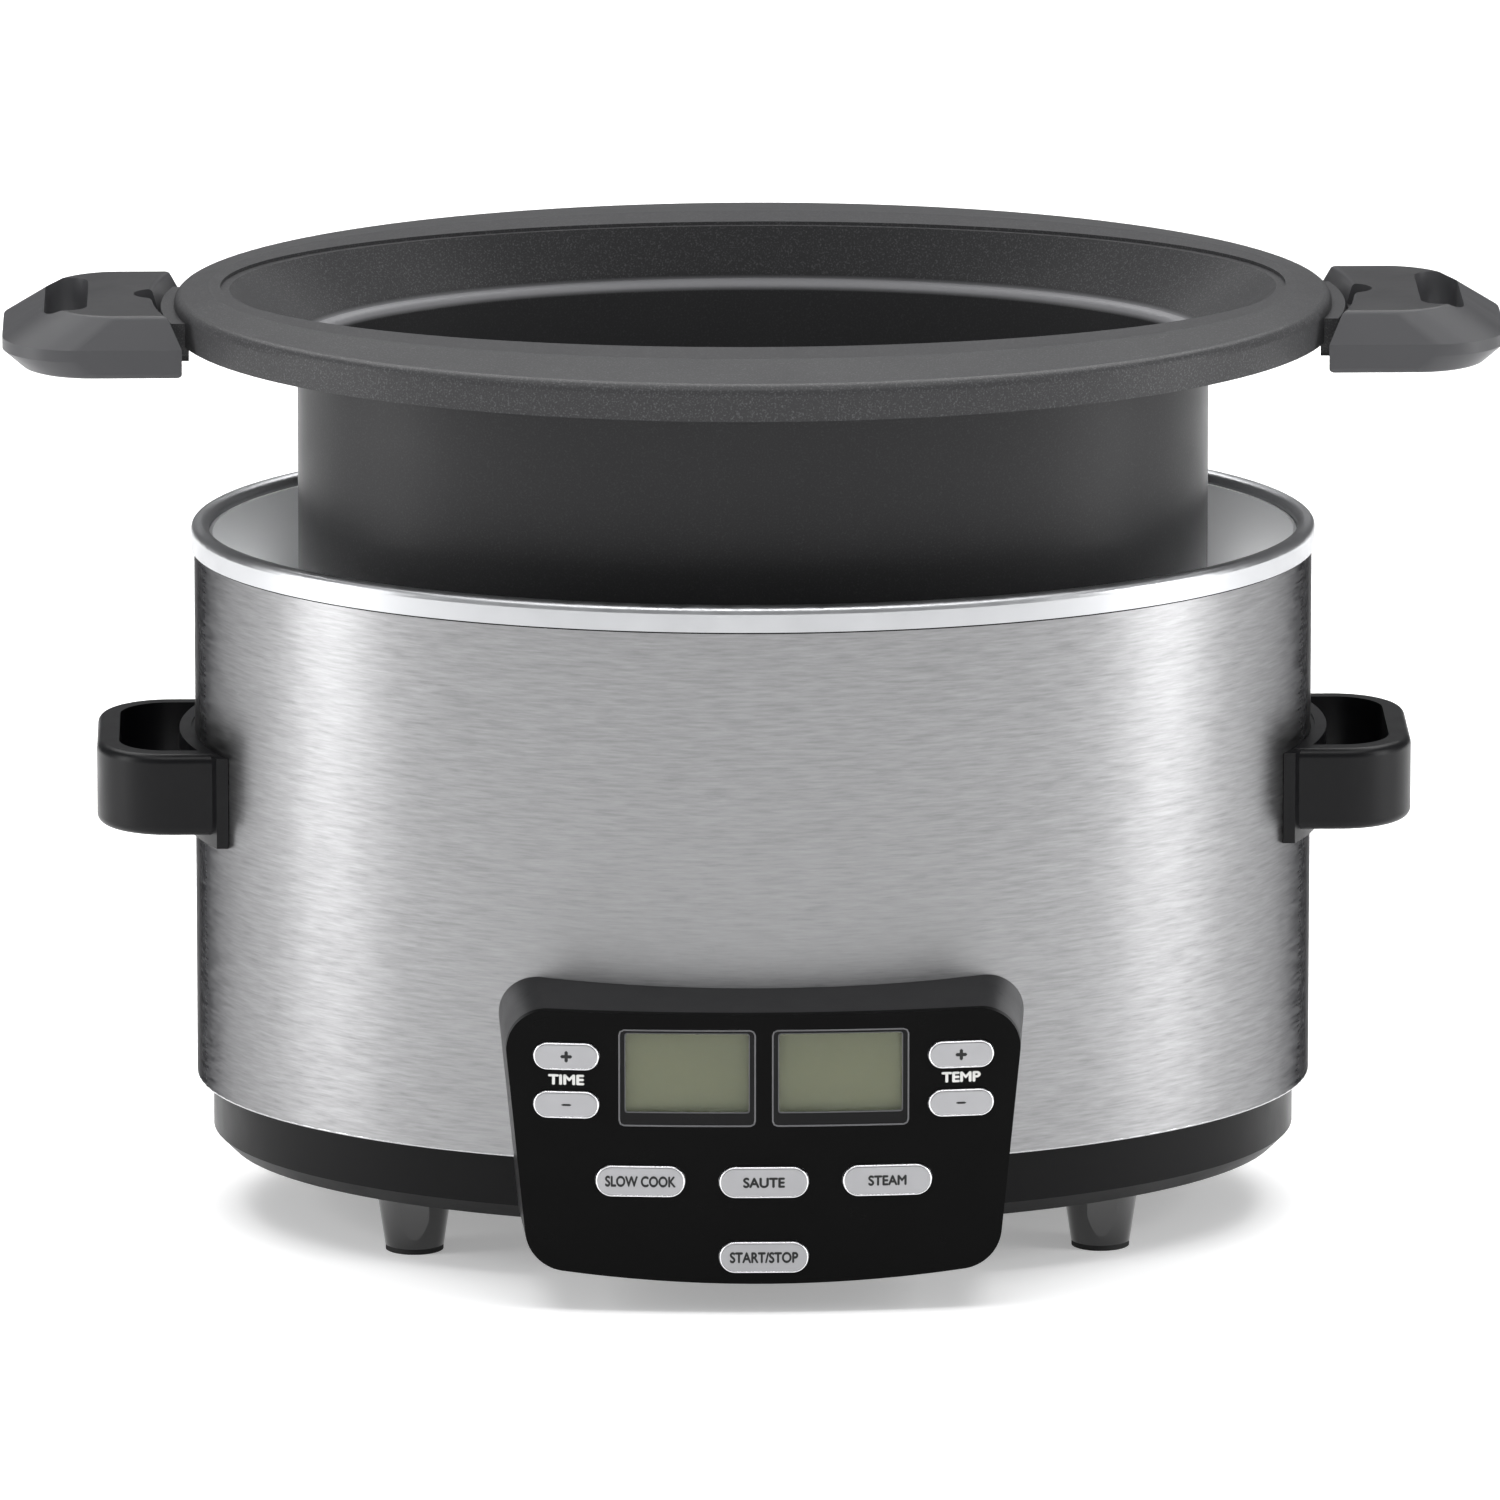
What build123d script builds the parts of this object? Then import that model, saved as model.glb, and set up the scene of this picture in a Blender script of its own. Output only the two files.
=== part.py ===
"""Oval countertop slow cooker: a steel-clad heating base and a lift-out cooking pot.

Millimetres, +Z up, the front (control panel) facing -Y. The row's origin lies on the table under
the middle of the whole object's footprint. Every oval is concentric on one upright axis, which
stands axis_y behind the origin because the panel sticks out at the front only.
The pot is modelled lifted part of the way out of the base.
"""

from math import hypot, sqrt
import os

from build123d import *

os.makedirs("parts", exist_ok=True)

# ---- driving dimensions -------------------------------------------------------------------------
shell_a, shell_b = 162.5, 116.0  # half length and half depth of the steel shell
shell_wall = 0.8
shell_bottom, shell_top = 39.5, 195.5

base_a, base_b = 157.8, 111.5  # black base, set in under the shell
base_bottom = 19.0
base_chamfer = 4.5
base_wall = 2.6

rim_a, rim_b = 163.4, 116.9  # bright rim that caps the shell
rim_height = 8.0
rim_width = 5.2
rim_seam = 0.6  # dark gasket line between the rim and the shell

liner_wall = 1.0
liner_throat_a, liner_throat_b = 140.0, 92.0  # lower, narrower part of the heating well
liner_shoulder_top, liner_shoulder_bottom = 160.0, 148.0
liner_floor = 66.0

foot_x, foot_y = 99.5, 57.5
foot_top_r, foot_bottom_r = 11.2, 8.6
pad_height = 1.6

panel_proud = 20.0  # how far the panel stands in front of the shell
panel_top, panel_low = 88.6, 13.9  # height range of the panel's straight sides
panel_half_top, panel_half_low = 74.3, 67.0
panel_sag = 4.5  # how far the bottom edge bows down at its middle
panel_corner = 12.0
face_radius = 470.0  # plan curvature of the panel's face
face_wall = 2.0
casing_wall = 2.4

small_button = (18.6, 7.8)
large_button = (25.4, 9.0)
button_proud = 1.2
button_travel = 0.8
button_gap = 0.3
button_lip = 1.0

display_x = 21.9
bezel_z, bezel_width, bezel_height = 70.0, 38.9, 28.2
window_z, window_width, window_height = 71.4, 35.6, 23.4

handle_reach = 191.0  # half the length over the side handles
handle_half_depth = 37.2
handle_low, handle_top = 118.0, 142.2

pot_lift = 63.8  # how far the pot stands above its seat in this pose
pot_seat_gap = 0.3
pot_depth = 126.0
pot_wall = 3.2
pot_floor = 4.0
well_a, well_b = 129.0, 82.5  # inside of the deep well
mouth_a, mouth_b = 153.0, 87.0  # inside of the pot at its rim
crown_a, crown_b = 158.0, 104.5  # edge of the level band around the mouth
ledge_depth, ledge_width = 16.5, 3.4  # rounded ledge where the sloping mouth meets the well
flange_a, flange_b = 167.8, 130.0
flange_drop = 2.6
flange_wall = 3.0
skirt_height = 10.2
skirt_wall = 2.6

grip_reach = 217.4  # half the length over the pot's grips
grip_gap = 4.2  # gap between the flange and the hollow inner end of each grip
grip_half_depth = 37.0
grip_height = 17.5
grip_bevel = 9.0
grip_side_slope, grip_end_slope = 5.0, 14.0  # how far the bevel draws the top face in

# ---- places worked out from the driving dimensions ----------------------------------------------
axis_y = (shell_b + panel_proud + button_proud - flange_b) / 2
face_y = shell_b + panel_proud  # distance of the face in front of the oval axis
rim_top = shell_top + rim_height
seated_top = rim_top + pot_seat_gap + flange_wall + flange_drop  # pot's rim when it is seated
pot_top = seated_top + pot_lift
heater_top = seated_top - pot_depth - 0.3
board_front = face_y - 14.0  # distance of the control board's front in front of the axis
board_wall = 1.6
grip_top = pot_top - flange_drop + 0.4


def level(z):
    """Horizontal plane at height z, centred on the oval axis."""
    return Plane((0, axis_y, z))


def front(distance):
    """Upright plane facing the front, that distance in front of the oval axis."""
    return Plane.XZ.offset(distance - axis_y)


def write(piece, name):
    """Labels a finished piece and writes it as its own STEP file."""
    piece.part.label = name
    export_step(piece.part, f"parts/{name}.step")


def oval(a, b, z, height, mode=Mode.ADD):
    """Upright oval prism between z and z + height, in the part being built."""
    with BuildSketch(level(z)) as section:
        Ellipse(a, b)
    extrude(section.sketch, amount=height, mode=mode)


def oval_ring(a, b, width, z, height, mode=Mode.ADD):
    """Upright oval tube of that wall width, in the part being built."""
    with BuildSketch(level(z)) as section:
        Ellipse(a, b)
        Ellipse(a - width, b - width, mode=Mode.SUBTRACT)
    extrude(section.sketch, amount=height, mode=mode)


def oval_taper(a, b, z, a_end, b_end, z_end, mode=Mode.ADD):
    """Straight-sided oval loft between two heights, in the part being built."""
    with BuildSketch(level(z)) as start:
        Ellipse(a, b)
    with BuildSketch(level(z_end)) as end:
        Ellipse(a_end, b_end)
    loft([start.sketch, end.sketch], ruled=True, mode=mode)


def posts(places, radius, z, height, mode=Mode.ADD):
    """Upright round posts standing at places given from the oval axis."""
    with BuildSketch(level(z)) as section:
        with Locations(*places):
            Circle(radius)
    extrude(section.sketch, amount=height, mode=mode)


def pins(places, radius, start, length, mode=Mode.ADD):
    """Round pins pointing forward from a distance in front of the oval axis."""
    with BuildSketch(front(start)) as section:
        with Locations(*places):
            Circle(radius)
    extrude(section.sketch, amount=length, mode=mode)


def bent_slab(outer, inner, mode=Mode.INTERSECT):
    """Upright slab that follows the panel's face, between two distances behind it."""
    with BuildSketch(Plane.XY.offset(-5)) as section:
        with Locations((0, axis_y - face_y + face_radius)):
            Circle(face_radius - outer)
            Circle(face_radius - inner, mode=Mode.SUBTRACT)
    extrude(section.sketch, amount=120, mode=mode)


def face_sag(x):
    """How far the panel's curved face falls back at the distance x from its middle."""
    return face_radius - sqrt(face_radius**2 - x**2)


def panel_section(distance, inset):
    """Outline of the panel at a distance in front of the oval axis, drawn in by inset."""
    back = face_y - distance
    top = panel_top + 0.15 * back - inset
    low = panel_low + inset
    half_top = panel_half_top + 0.07 * back - inset
    half_low = panel_half_low + 0.05 * back - inset
    with BuildSketch(front(distance)) as section:
        with BuildLine():
            Polyline((half_low, low), (half_top, top), (-half_top, top), (-half_low, low))
            ThreePointArc((-half_low, low), (0, low - panel_sag), (half_low, low))
        make_face()
        fillet(section.vertices(), radius=panel_corner - inset)
    return section.sketch


def edges_at(part, z, tolerance=0.02):
    """Edges of a part that lie wholly at one height."""
    return part.edges().filter_by(
        lambda edge: abs(edge.bounding_box().min.Z - z) < tolerance
        and abs(edge.bounding_box().max.Z - z) < tolerance
    )


# ---- steel shell, rim and base ------------------------------------------------------------------
handle_screw_y, handle_screw_z = 14.0, 127.5
handle_boss_r = 4.0
gland_z, gland_r, cord_r = 31.0, 6.0, 3.75
leg_places = [(-100, -35), (-100, 35), (100, -35), (100, 35)]  # legs under the heating well
foot_places = [(-foot_x, -foot_y), (foot_x, -foot_y), (-foot_x, foot_y), (foot_x, foot_y)]
cover_top = base_bottom + 2.4
board_z = cover_top + 6.6
board_posts = [(-18, 8), (-18, 58), (78, 8), (78, 58)]

with BuildPart() as outer_shell:
    oval_ring(shell_a, shell_b, shell_wall, shell_bottom, shell_top - shell_bottom)
    # in-turned top edge that the gasket and the rim sit on
    oval_ring(shell_a - 0.2, shell_b - 0.2, 2.8, shell_top - shell_wall, shell_wall)
    # holes for the handle bosses, and a window for the panel's wiring
    with BuildSketch(Plane.YZ.offset(-shell_a - 5)):
        with Locations(
            (axis_y - handle_screw_y, handle_screw_z), (axis_y + handle_screw_y, handle_screw_z)
        ):
            Circle(handle_boss_r + 0.4)
    extrude(amount=2 * shell_a + 10, mode=Mode.SUBTRACT)
    with BuildSketch(front(shell_b - 20)):
        with Locations((0, 60)):
            RectangleRounded(70, 24, 5)
    extrude(amount=30, mode=Mode.SUBTRACT)
write(outer_shell, "outer_shell")

with BuildPart() as rim_gasket:
    oval_ring(shell_a - 0.3, shell_b - 0.3, 2.5, shell_top, rim_seam)
write(rim_gasket, "rim_gasket")

with BuildPart() as rim_ring:
    oval_ring(rim_a, rim_b, rim_width, shell_top + rim_seam, rim_height - rim_seam)
    fillet(edges_at(rim_ring.part, rim_top), radius=2.2)
    # skirt that drops inside the shell's in-turned edge
    oval_ring(rim_a - rim_width + 1.1, rim_b - rim_width + 1.1, 1.1, shell_top - 5, 5.8)
write(rim_ring, "rim_ring")

with BuildPart() as base_tray:
    oval(base_a, base_b, base_bottom + base_chamfer, 40.5 - base_bottom - base_chamfer)
    oval_taper(
        base_a - base_chamfer,
        base_b - base_chamfer,
        base_bottom,
        base_a,
        base_b,
        base_bottom + base_chamfer,
    )
    oval(base_a - base_wall, base_b - base_wall, base_bottom + base_chamfer, 30, Mode.SUBTRACT)
    oval_taper(
        base_a - base_chamfer - base_wall,
        base_b - base_chamfer - base_wall,
        base_bottom,
        base_a - base_wall,
        base_b - base_wall,
        base_bottom + base_chamfer,
        Mode.SUBTRACT,
    )
    # upstand inside the shell's lower edge
    oval_ring(base_a + 2.6, base_b + 2.6, 5.2, 40.5, 9)
    # hole for the cord gland at the back
    pins([(0, gland_z)], gland_r + 0.2, -base_b - 8, 20, Mode.SUBTRACT)
write(base_tray, "base_tray")

with BuildPart() as bottom_cover:
    oval(
        base_a - base_chamfer - base_wall - 0.3,
        base_b - base_chamfer - base_wall - 0.3,
        base_bottom,
        cover_top - base_bottom,
    )
    # stand-offs under the power board
    posts(board_posts, 3.0, cover_top - 0.1, board_z - cover_top + 0.1)
    posts(board_posts, 1.5, cover_top + 1.6, 8, Mode.SUBTRACT)
    posts(foot_places, 2.2, base_bottom, 5, Mode.SUBTRACT)
    # cooling slots
    with BuildSketch(Plane.XY.offset(base_bottom)):
        with GridLocations(30, 8, 3, 6):
            SlotOverall(24, 2.6)
    extrude(amount=5, mode=Mode.SUBTRACT)
write(bottom_cover, "bottom_cover")

for place, name in zip(foot_places, ("front_left", "front_right", "rear_left", "rear_right")):
    side = -1 if place[1] < 0 else 1
    with BuildPart() as foot:
        with Locations((place[0], axis_y + place[1], pad_height)):
            Cone(
                foot_bottom_r,
                foot_top_r,
                base_bottom - pad_height,
                align=(Align.CENTER, Align.CENTER, Align.MIN),
            )
        posts([place], 2.2, 0, base_bottom, Mode.SUBTRACT)
        posts([place], 4.2, 0, pad_height + 3.4, Mode.SUBTRACT)
        # rounded recess in the outward side
        with BuildSketch(Plane.XZ.offset(-(axis_y + place[1]) - side * 9.0)):
            with Locations((place[0], 11.5)):
                SlotOverall(14, 8.4, rotation=90)
        extrude(amount=-side * 6, mode=Mode.SUBTRACT)
    write(foot, f"foot_{name}")

with BuildPart() as foot_pads:
    posts(foot_places, foot_bottom_r - 0.2, 0, pad_height)
    posts(foot_places, 3.6, 0, pad_height, Mode.SUBTRACT)
write(foot_pads, "foot_pads")

with BuildPart() as foot_screws:
    posts(foot_places, 3.9, pad_height + 1.0, 2.4)
    posts(foot_places, 1.9, pad_height + 3.4, base_bottom + 6 - pad_height - 3.4)
write(foot_screws, "foot_screws")

with BuildPart() as foot_nuts:
    with BuildSketch(level(cover_top)):
        with Locations(*foot_places):
            RegularPolygon(3.6, 6)
            Circle(2.0, mode=Mode.SUBTRACT)
    extrude(amount=3)
write(foot_nuts, "foot_nuts")

with BuildPart() as cord_gland:
    pins([(0, gland_z)], gland_r, -base_b - 0.5, 9)
    pins([(0, gland_z)], 7.6, -base_b - 7, 6.6)
    pins([(0, gland_z)], cord_r, -base_b - 8, 30, Mode.SUBTRACT)
write(cord_gland, "cord_gland")

# ---- heating well and what is under it ----------------------------------------------------------
liner_top = rim_top - 3.2
liner_a = rim_a - rim_width - 0.1  # outside of the well where it meets the rim
liner_b = rim_b - rim_width - 0.1
throat_a, throat_b = liner_throat_a + liner_wall, liner_throat_b + liner_wall
plate_a, plate_b = 122.0, 70.0
plate_height = 8.0
plate_low = heater_top - plate_height
element_r = 2.8
element_z = plate_low - element_r
sensor_r = 12.0
shield_z = 52.0

with BuildPart() as liner_hollow:
    oval(
        liner_throat_a,
        liner_throat_b,
        liner_floor + liner_wall,
        liner_shoulder_bottom - liner_floor - liner_wall,
    )
    fillet(edges_at(liner_hollow.part, liner_floor + liner_wall), radius=8)
    oval_taper(
        liner_throat_a,
        liner_throat_b,
        liner_shoulder_bottom,
        liner_a - liner_wall,
        liner_b - liner_wall,
        liner_shoulder_top,
    )
    oval(liner_a - liner_wall, liner_b - liner_wall, liner_shoulder_top, 60)

with BuildPart() as heater_liner:
    oval(throat_a, throat_b, liner_floor, liner_shoulder_bottom - liner_floor)
    fillet(edges_at(heater_liner.part, liner_floor), radius=9)
    oval_taper(
        throat_a, throat_b, liner_shoulder_bottom, liner_a, liner_b, liner_shoulder_top
    )
    oval(liner_a, liner_b, liner_shoulder_top, liner_top - liner_shoulder_top)
    add(liner_hollow.part, mode=Mode.SUBTRACT)
    # holes for the element's ends and the sensor's lead
    posts([(-20, -30), (-38, -30)], 3.2, liner_floor - 1, 4, Mode.SUBTRACT)
    posts([(0, 0)], 3.0, liner_floor - 1, 4, Mode.SUBTRACT)
write(heater_liner, "heater_liner")

with BuildPart() as heater_plate:
    oval(plate_a, plate_b, plate_low, plate_height)
    fillet(edges_at(heater_plate.part, heater_top), radius=2)
    posts([(0, 0)], sensor_r + 1.5, plate_low, plate_height, Mode.SUBTRACT)
write(heater_plate, "heater_plate")

with BuildPart() as plate_supports:
    posts([(-104, 0), (104, 0), (0, -52), (0, 52)], 4.0, liner_floor + liner_wall,
          plate_low - liner_floor - liner_wall)
write(plate_supports, "plate_supports")

# open loop of sheathed element under the plate, with both ends turned down
with BuildPart() as heating_element:
    with BuildLine(level(element_z)) as path:
        Line((-20, -30), (60, -30))
        ThreePointArc((60, -30), (90, 0), (60, 30))
        Line((60, 30), (-60, 30))
        ThreePointArc((-60, 30), (-90, 0), (-60, -30))
        Line((-60, -30), (-38, -30))
    with BuildSketch(Plane(origin=path.line @ 0, z_dir=path.line % 0)):
        Circle(element_r)
    sweep()
    posts([(-20, -30), (-38, -30)], 1.8, liner_floor - 8, element_z - liner_floor + 8)
write(heating_element, "heating_element")

with BuildPart() as thermal_sensor:
    posts([(0, 0)], sensor_r, heater_top - 5, 5)
    posts([(0, 0)], 4.5, liner_floor + liner_wall + 3, 10)
write(thermal_sensor, "thermal_sensor")

with BuildPart() as sensor_spring:
    with BuildLine(level(liner_floor + liner_wall + 0.9)) as coil:
        Helix(pitch=2.3, height=heater_top - liner_floor - liner_wall - 6.8, radius=7.5)
    with BuildSketch(Plane(origin=coil.line @ 0, z_dir=coil.line % 0)):
        Circle(0.8)
    sweep(is_frenet=True)
write(sensor_spring, "sensor_spring")

with BuildPart() as thermal_fuse:
    with BuildSketch(Plane.YZ.offset(48)):
        with Locations((axis_y + 20, liner_floor - 3.1)):
            Circle(2.8)
    extrude(amount=26)
    with Locations((61, axis_y + 20, liner_floor - 0.5)):
        Box(10, 14, 1)
write(thermal_fuse, "thermal_fuse")

with BuildPart() as liner_legs:
    posts(leg_places, 4.0, cover_top, liner_floor - cover_top)
    posts(leg_places, 7.0, shield_z - 3, 3)
write(liner_legs, "liner_legs")

with BuildPart() as heat_shield:
    oval(135, 87, shield_z, 0.8)
    oval_ring(135, 87, 0.8, shield_z, 7)
    posts(leg_places, 4.3, shield_z, 0.8, Mode.SUBTRACT)
    posts([(-29, -30)], 12, shield_z, 0.8, Mode.SUBTRACT)
write(heat_shield, "heat_shield")

with BuildPart() as power_board:
    with Locations((30, axis_y + 33, board_z + board_wall / 2)):
        Box(110, 60, board_wall)
    posts(board_posts, 1.7, board_z, board_wall, Mode.SUBTRACT)
write(power_board, "power_board")

with BuildPart() as board_screws:
    posts(board_posts, 2.8, board_z + board_wall, 1.8)
    posts(board_posts, 1.4, cover_top + 2, board_z + board_wall - cover_top - 2)
write(board_screws, "board_screws")

with BuildPart() as transformer:
    with Locations((6, axis_y + 33, board_z + board_wall + 9)):
        Box(30, 26, 18)
    with Locations((6, axis_y + 33, board_z + board_wall + 8)):
        Box(36, 14, 14)
write(transformer, "transformer")

with BuildPart() as relay:
    with Locations((44, axis_y + 20, board_z + board_wall + 7.7)):
        Box(19, 15.5, 15.4)
write(relay, "relay")

with BuildPart() as capacitor:
    posts([(60, 47)], 6.0, board_z + board_wall, 18)
    fillet(edges_at(capacitor.part, board_z + board_wall + 18), radius=1)
write(capacitor, "capacitor")

with BuildPart() as terminal_block:
    with Locations((0, axis_y + 86, cover_top + 6.5)):
        Box(30, 12, 13)
        with Locations((-9, 0, 6), (0, 0, 6), (9, 0, 6)):
            Cylinder(2.4, 3, mode=Mode.SUBTRACT)
write(terminal_block, "terminal_block")

# ---- side handles -------------------------------------------------------------------------------
bracket_x = shell_a - 6.5
plate_half = handle_half_depth + 2.6  # half depth of the plate that hugs the shell

handle_screws_at = [(axis_y + y, handle_screw_z) for y in (-handle_screw_y, handle_screw_y)]


def side_pins(side, radius, near, far, mode=Mode.ADD):
    """Round pins along X at the handle screws' places, between two distances from the middle."""
    with BuildSketch(Plane.YZ.offset(side * near)) as section:
        with Locations(*handle_screws_at):
            Circle(radius)
    extrude(section.sketch, amount=side * (far - near), mode=mode)


for side, word in ((-1, "left"), (1, "right")):
    with BuildPart() as side_handle:
        # looped arm
        with BuildSketch(level(handle_low)) as arm:
            with Locations((side * (140 + handle_reach) / 2, 0)):
                Rectangle(handle_reach - 140, 2 * handle_half_depth)
            fillet(arm.vertices().sort_by(Axis.X)[-2:] if side > 0 else
                   arm.vertices().sort_by(Axis.X)[:2], radius=21)
            Ellipse(shell_a + 1.2, shell_b + 1.2, mode=Mode.SUBTRACT)
        extrude(amount=handle_top - handle_low)
        outside = [
            edge
            for z in (handle_low, handle_top)
            for edge in edges_at(side_handle.part, z)
            if hypot(edge.center().X / (shell_a + 3), (edge.center().Y - axis_y) / (shell_b + 3)) > 1
        ]
        fillet(outside, radius=2.6)
        # mounting plate that hugs the shell
        with BuildSketch(level(handle_low - 3.0)):
            with Locations((side * 160, 0)):
                Rectangle(40, 2 * plate_half)
            Ellipse(shell_a + 3.2, shell_b + 3.2, mode=Mode.INTERSECT)
            Ellipse(shell_a + 0.15, shell_b + 0.15, mode=Mode.SUBTRACT)
        extrude(amount=handle_top - handle_low + 2.6)
        # finger gap
        with BuildSketch(level(handle_low - 5)) as gap:
            with Locations((side * (140 + handle_reach - 6.5) / 2, 0)):
                Rectangle(handle_reach - 6.5 - 140, 2 * handle_half_depth - 13)
            fillet(gap.vertices().sort_by(Axis.X)[-2:] if side > 0 else
                   gap.vertices().sort_by(Axis.X)[:2], radius=14)
            Ellipse(shell_a + 4.6, shell_b + 4.6, mode=Mode.SUBTRACT)
        extrude(amount=40, mode=Mode.SUBTRACT)
        # bosses that pass through the shell to the bracket
        side_pins(side, handle_boss_r, bracket_x + 1.6, shell_a + 4)
        side_pins(side, 1.6, bracket_x + 1.6, bracket_x + 9, Mode.SUBTRACT)
    write(side_handle, f"side_handle_{word}")

    with BuildPart() as handle_bracket:
        with Locations((side * (bracket_x + 0.8), axis_y, handle_screw_z)):
            Box(1.6, 44, 17)
        side_pins(side, 1.7, bracket_x - 1, bracket_x + 2, Mode.SUBTRACT)
    write(handle_bracket, f"handle_bracket_{word}")

with BuildPart() as handle_screws:
    for side in (-1, 1):
        side_pins(side, 3.4, bracket_x - 2.2, bracket_x)
        side_pins(side, 1.5, bracket_x, bracket_x + 8.4)
write(handle_screws, "handle_screws")

# ---- control panel ------------------------------------------------------------------------------
panel_posts = [(-60, 46.6), (-22, 26.6), (22, 26.6), (60, 46.6)]
tail_distance = 104.0  # how far back the panel's chin reaches under the base
collar_wall = 1.4
stem_r = 1.6
stem_start = board_front + 5.3
buttons = {
    "slow_cook": (-35.3, 39.8, large_button),
    "saute": (0.0, 39.6, large_button),
    "steam": (35.3, 39.8, large_button),
    "start_stop": (0.0, 17.5, large_button),
    "time_up": (-56.4, 76.2, small_button),
    "time_down": (-56.4, 62.0, small_button),
    "temp_up": (56.4, 76.2, small_button),
    "temp_down": (56.4, 62.0, small_button),
}

with BuildPart() as casing_hollow:
    loft([panel_section(90, casing_wall), panel_section(face_y + 2, casing_wall)], ruled=True)
    with Locations((0, axis_y - tail_distance - casing_wall + 60, 0)):
        Box(200, 120, 2 * base_bottom - 0.4, mode=Mode.SUBTRACT)

with BuildPart() as panel_casing:
    loft([panel_section(92, 0), panel_section(face_y + 1, 0)], ruled=True)
    add(casing_hollow.part, mode=Mode.SUBTRACT)
    bent_slab(face_wall, 60)
    with Locations((0, axis_y - tail_distance + 60, 0)):
        Box(200, 120, 2 * base_bottom - 0.4, mode=Mode.SUBTRACT)
    oval(shell_a + 0.2, shell_b + 0.2, shell_bottom - 0.2, 80, Mode.SUBTRACT)
    oval(base_a + 0.2, base_b + 0.2, base_bottom + base_chamfer, 30, Mode.SUBTRACT)
    oval_taper(
        base_a - base_chamfer,
        base_b - base_chamfer,
        base_bottom - 0.2,
        base_a + 0.2,
        base_b + 0.2,
        base_bottom + base_chamfer,
        Mode.SUBTRACT,
    )
write(panel_casing, "panel_casing")

with BuildPart() as panel_face:
    loft([panel_section(face_y - 14, 0), panel_section(face_y + 1, 0)], ruled=True)
    bent_slab(0, face_wall)
    with BuildSketch(front(100)):
        with Locations((-display_x, bezel_z), (display_x, bezel_z)):
            RectangleRounded(bezel_width, bezel_height, 1.5)
        for x, z, size in buttons.values():
            with Locations((x, z)):
                SlotOverall(size[0] + 2 * button_gap, size[1] + 2 * button_gap)
    extrude(amount=50, mode=Mode.SUBTRACT)
    # screw posts for the control board
    for x, z in panel_posts:
        pins([(x, z)], 2.4, board_front, face_y - board_front - face_sag(x) - 1)
    pins(panel_posts, 1.05, board_front, 7, Mode.SUBTRACT)
write(panel_face, "panel_face")

for side, word in ((-1, "left"), (1, "right")):
    with BuildPart() as display_bezel:
        with BuildSketch(front(100)):
            with Locations((side * display_x, bezel_z)):
                RectangleRounded(bezel_width - 0.1, bezel_height - 0.1, 1.45)
            with Locations((side * display_x, window_z)):
                RectangleRounded(window_width + 0.1, window_height + 0.1, 0.85, mode=Mode.SUBTRACT)
        extrude(amount=50)
        bent_slab(0.4, 2.6)
    write(display_bezel, f"display_bezel_{word}")

    with BuildPart() as display_window:
        with BuildSketch(front(100)):
            with Locations((side * display_x, window_z)):
                RectangleRounded(window_width, window_height, 0.8)
        extrude(amount=50)
        bent_slab(1.0, 2.2)
    write(display_window, f"display_window_{word}")

    with BuildPart() as display_module:
        with BuildSketch(front(board_front + 5.2)):
            with Locations((side * display_x, window_z - 0.8)):
                RectangleRounded(39, 27, 1)
        extrude(amount=4)
        pins(
            [(side * display_x + x, window_z - 0.8 + z) for x in (-17, 17) for z in (-11, 11)],
            1.2,
            board_front,
            5.4,
        )
    write(display_module, f"display_module_{word}")

with BuildPart() as control_board:
    with BuildSketch(front(board_front - board_wall)):
        with Locations((0, 52.6)):
            RectangleRounded(128, 60, 3)
        with Locations((0, 19)):
            Rectangle(34, 12)
    extrude(amount=board_wall)
    pins(panel_posts, 1.2, board_front - board_wall, board_wall, Mode.SUBTRACT)
write(control_board, "control_board")

with BuildPart() as panel_screws:
    pins(panel_posts, 2.2, board_front - board_wall - 1.6, 1.6)
    pins(panel_posts, 1.0, board_front - board_wall, board_wall + 6)
write(panel_screws, "panel_screws")

with BuildPart() as tact_switches:
    with BuildSketch(front(board_front)):
        for x, z, size in buttons.values():
            with Locations((x, z)):
                Rectangle(6.2, 6.2)
    extrude(amount=3.4)
    pins([(x, z) for x, z, size in buttons.values()], 1.7, board_front, 4.1)
write(tact_switches, "tact_switches")

for name, (x, z, size) in buttons.items():
    with BuildPart() as button_cap:
        with BuildSketch(front(100)):
            with Locations((x, z)):
                SlotOverall(*size)
        extrude(amount=50)
        bent_slab(-button_proud, face_wall + button_gap + collar_wall)
        nose = [
            edge
            for edge in button_cap.edges()
            if hypot((edge @ 0.5).X, (edge @ 0.5).Y - axis_y + face_y - face_radius)
            > face_radius + button_proud - 0.02
        ]
        fillet(nose, radius=0.7)
    with BuildPart() as button:
        with BuildSketch(front(100)):
            with Locations((x, z)):
                SlotOverall(size[0] + 2 * button_lip, size[1] + 2 * button_lip)
        extrude(amount=50)
        bent_slab(face_wall + button_gap, face_wall + button_gap + collar_wall)
        add(button_cap.part)
        pins([(x, z)], stem_r, stem_start, face_y - face_sag(x) - 3 - stem_start)
    write(button, f"button_{name}")

# ---- lift-out cooking pot -----------------------------------------------------------------------
flange_low = pot_top - flange_drop - flange_wall
pot_bottom = pot_top - pot_depth
tab_z = grip_top - grip_height + 7.5  # middle of the tab inside each grip
tab_wall, tab_half, tab_end = 5.0, 22.0, 188.5
grip_screws_at = [(side * 181, y) for side in (-1, 1) for y in (-12, 12)]

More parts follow.
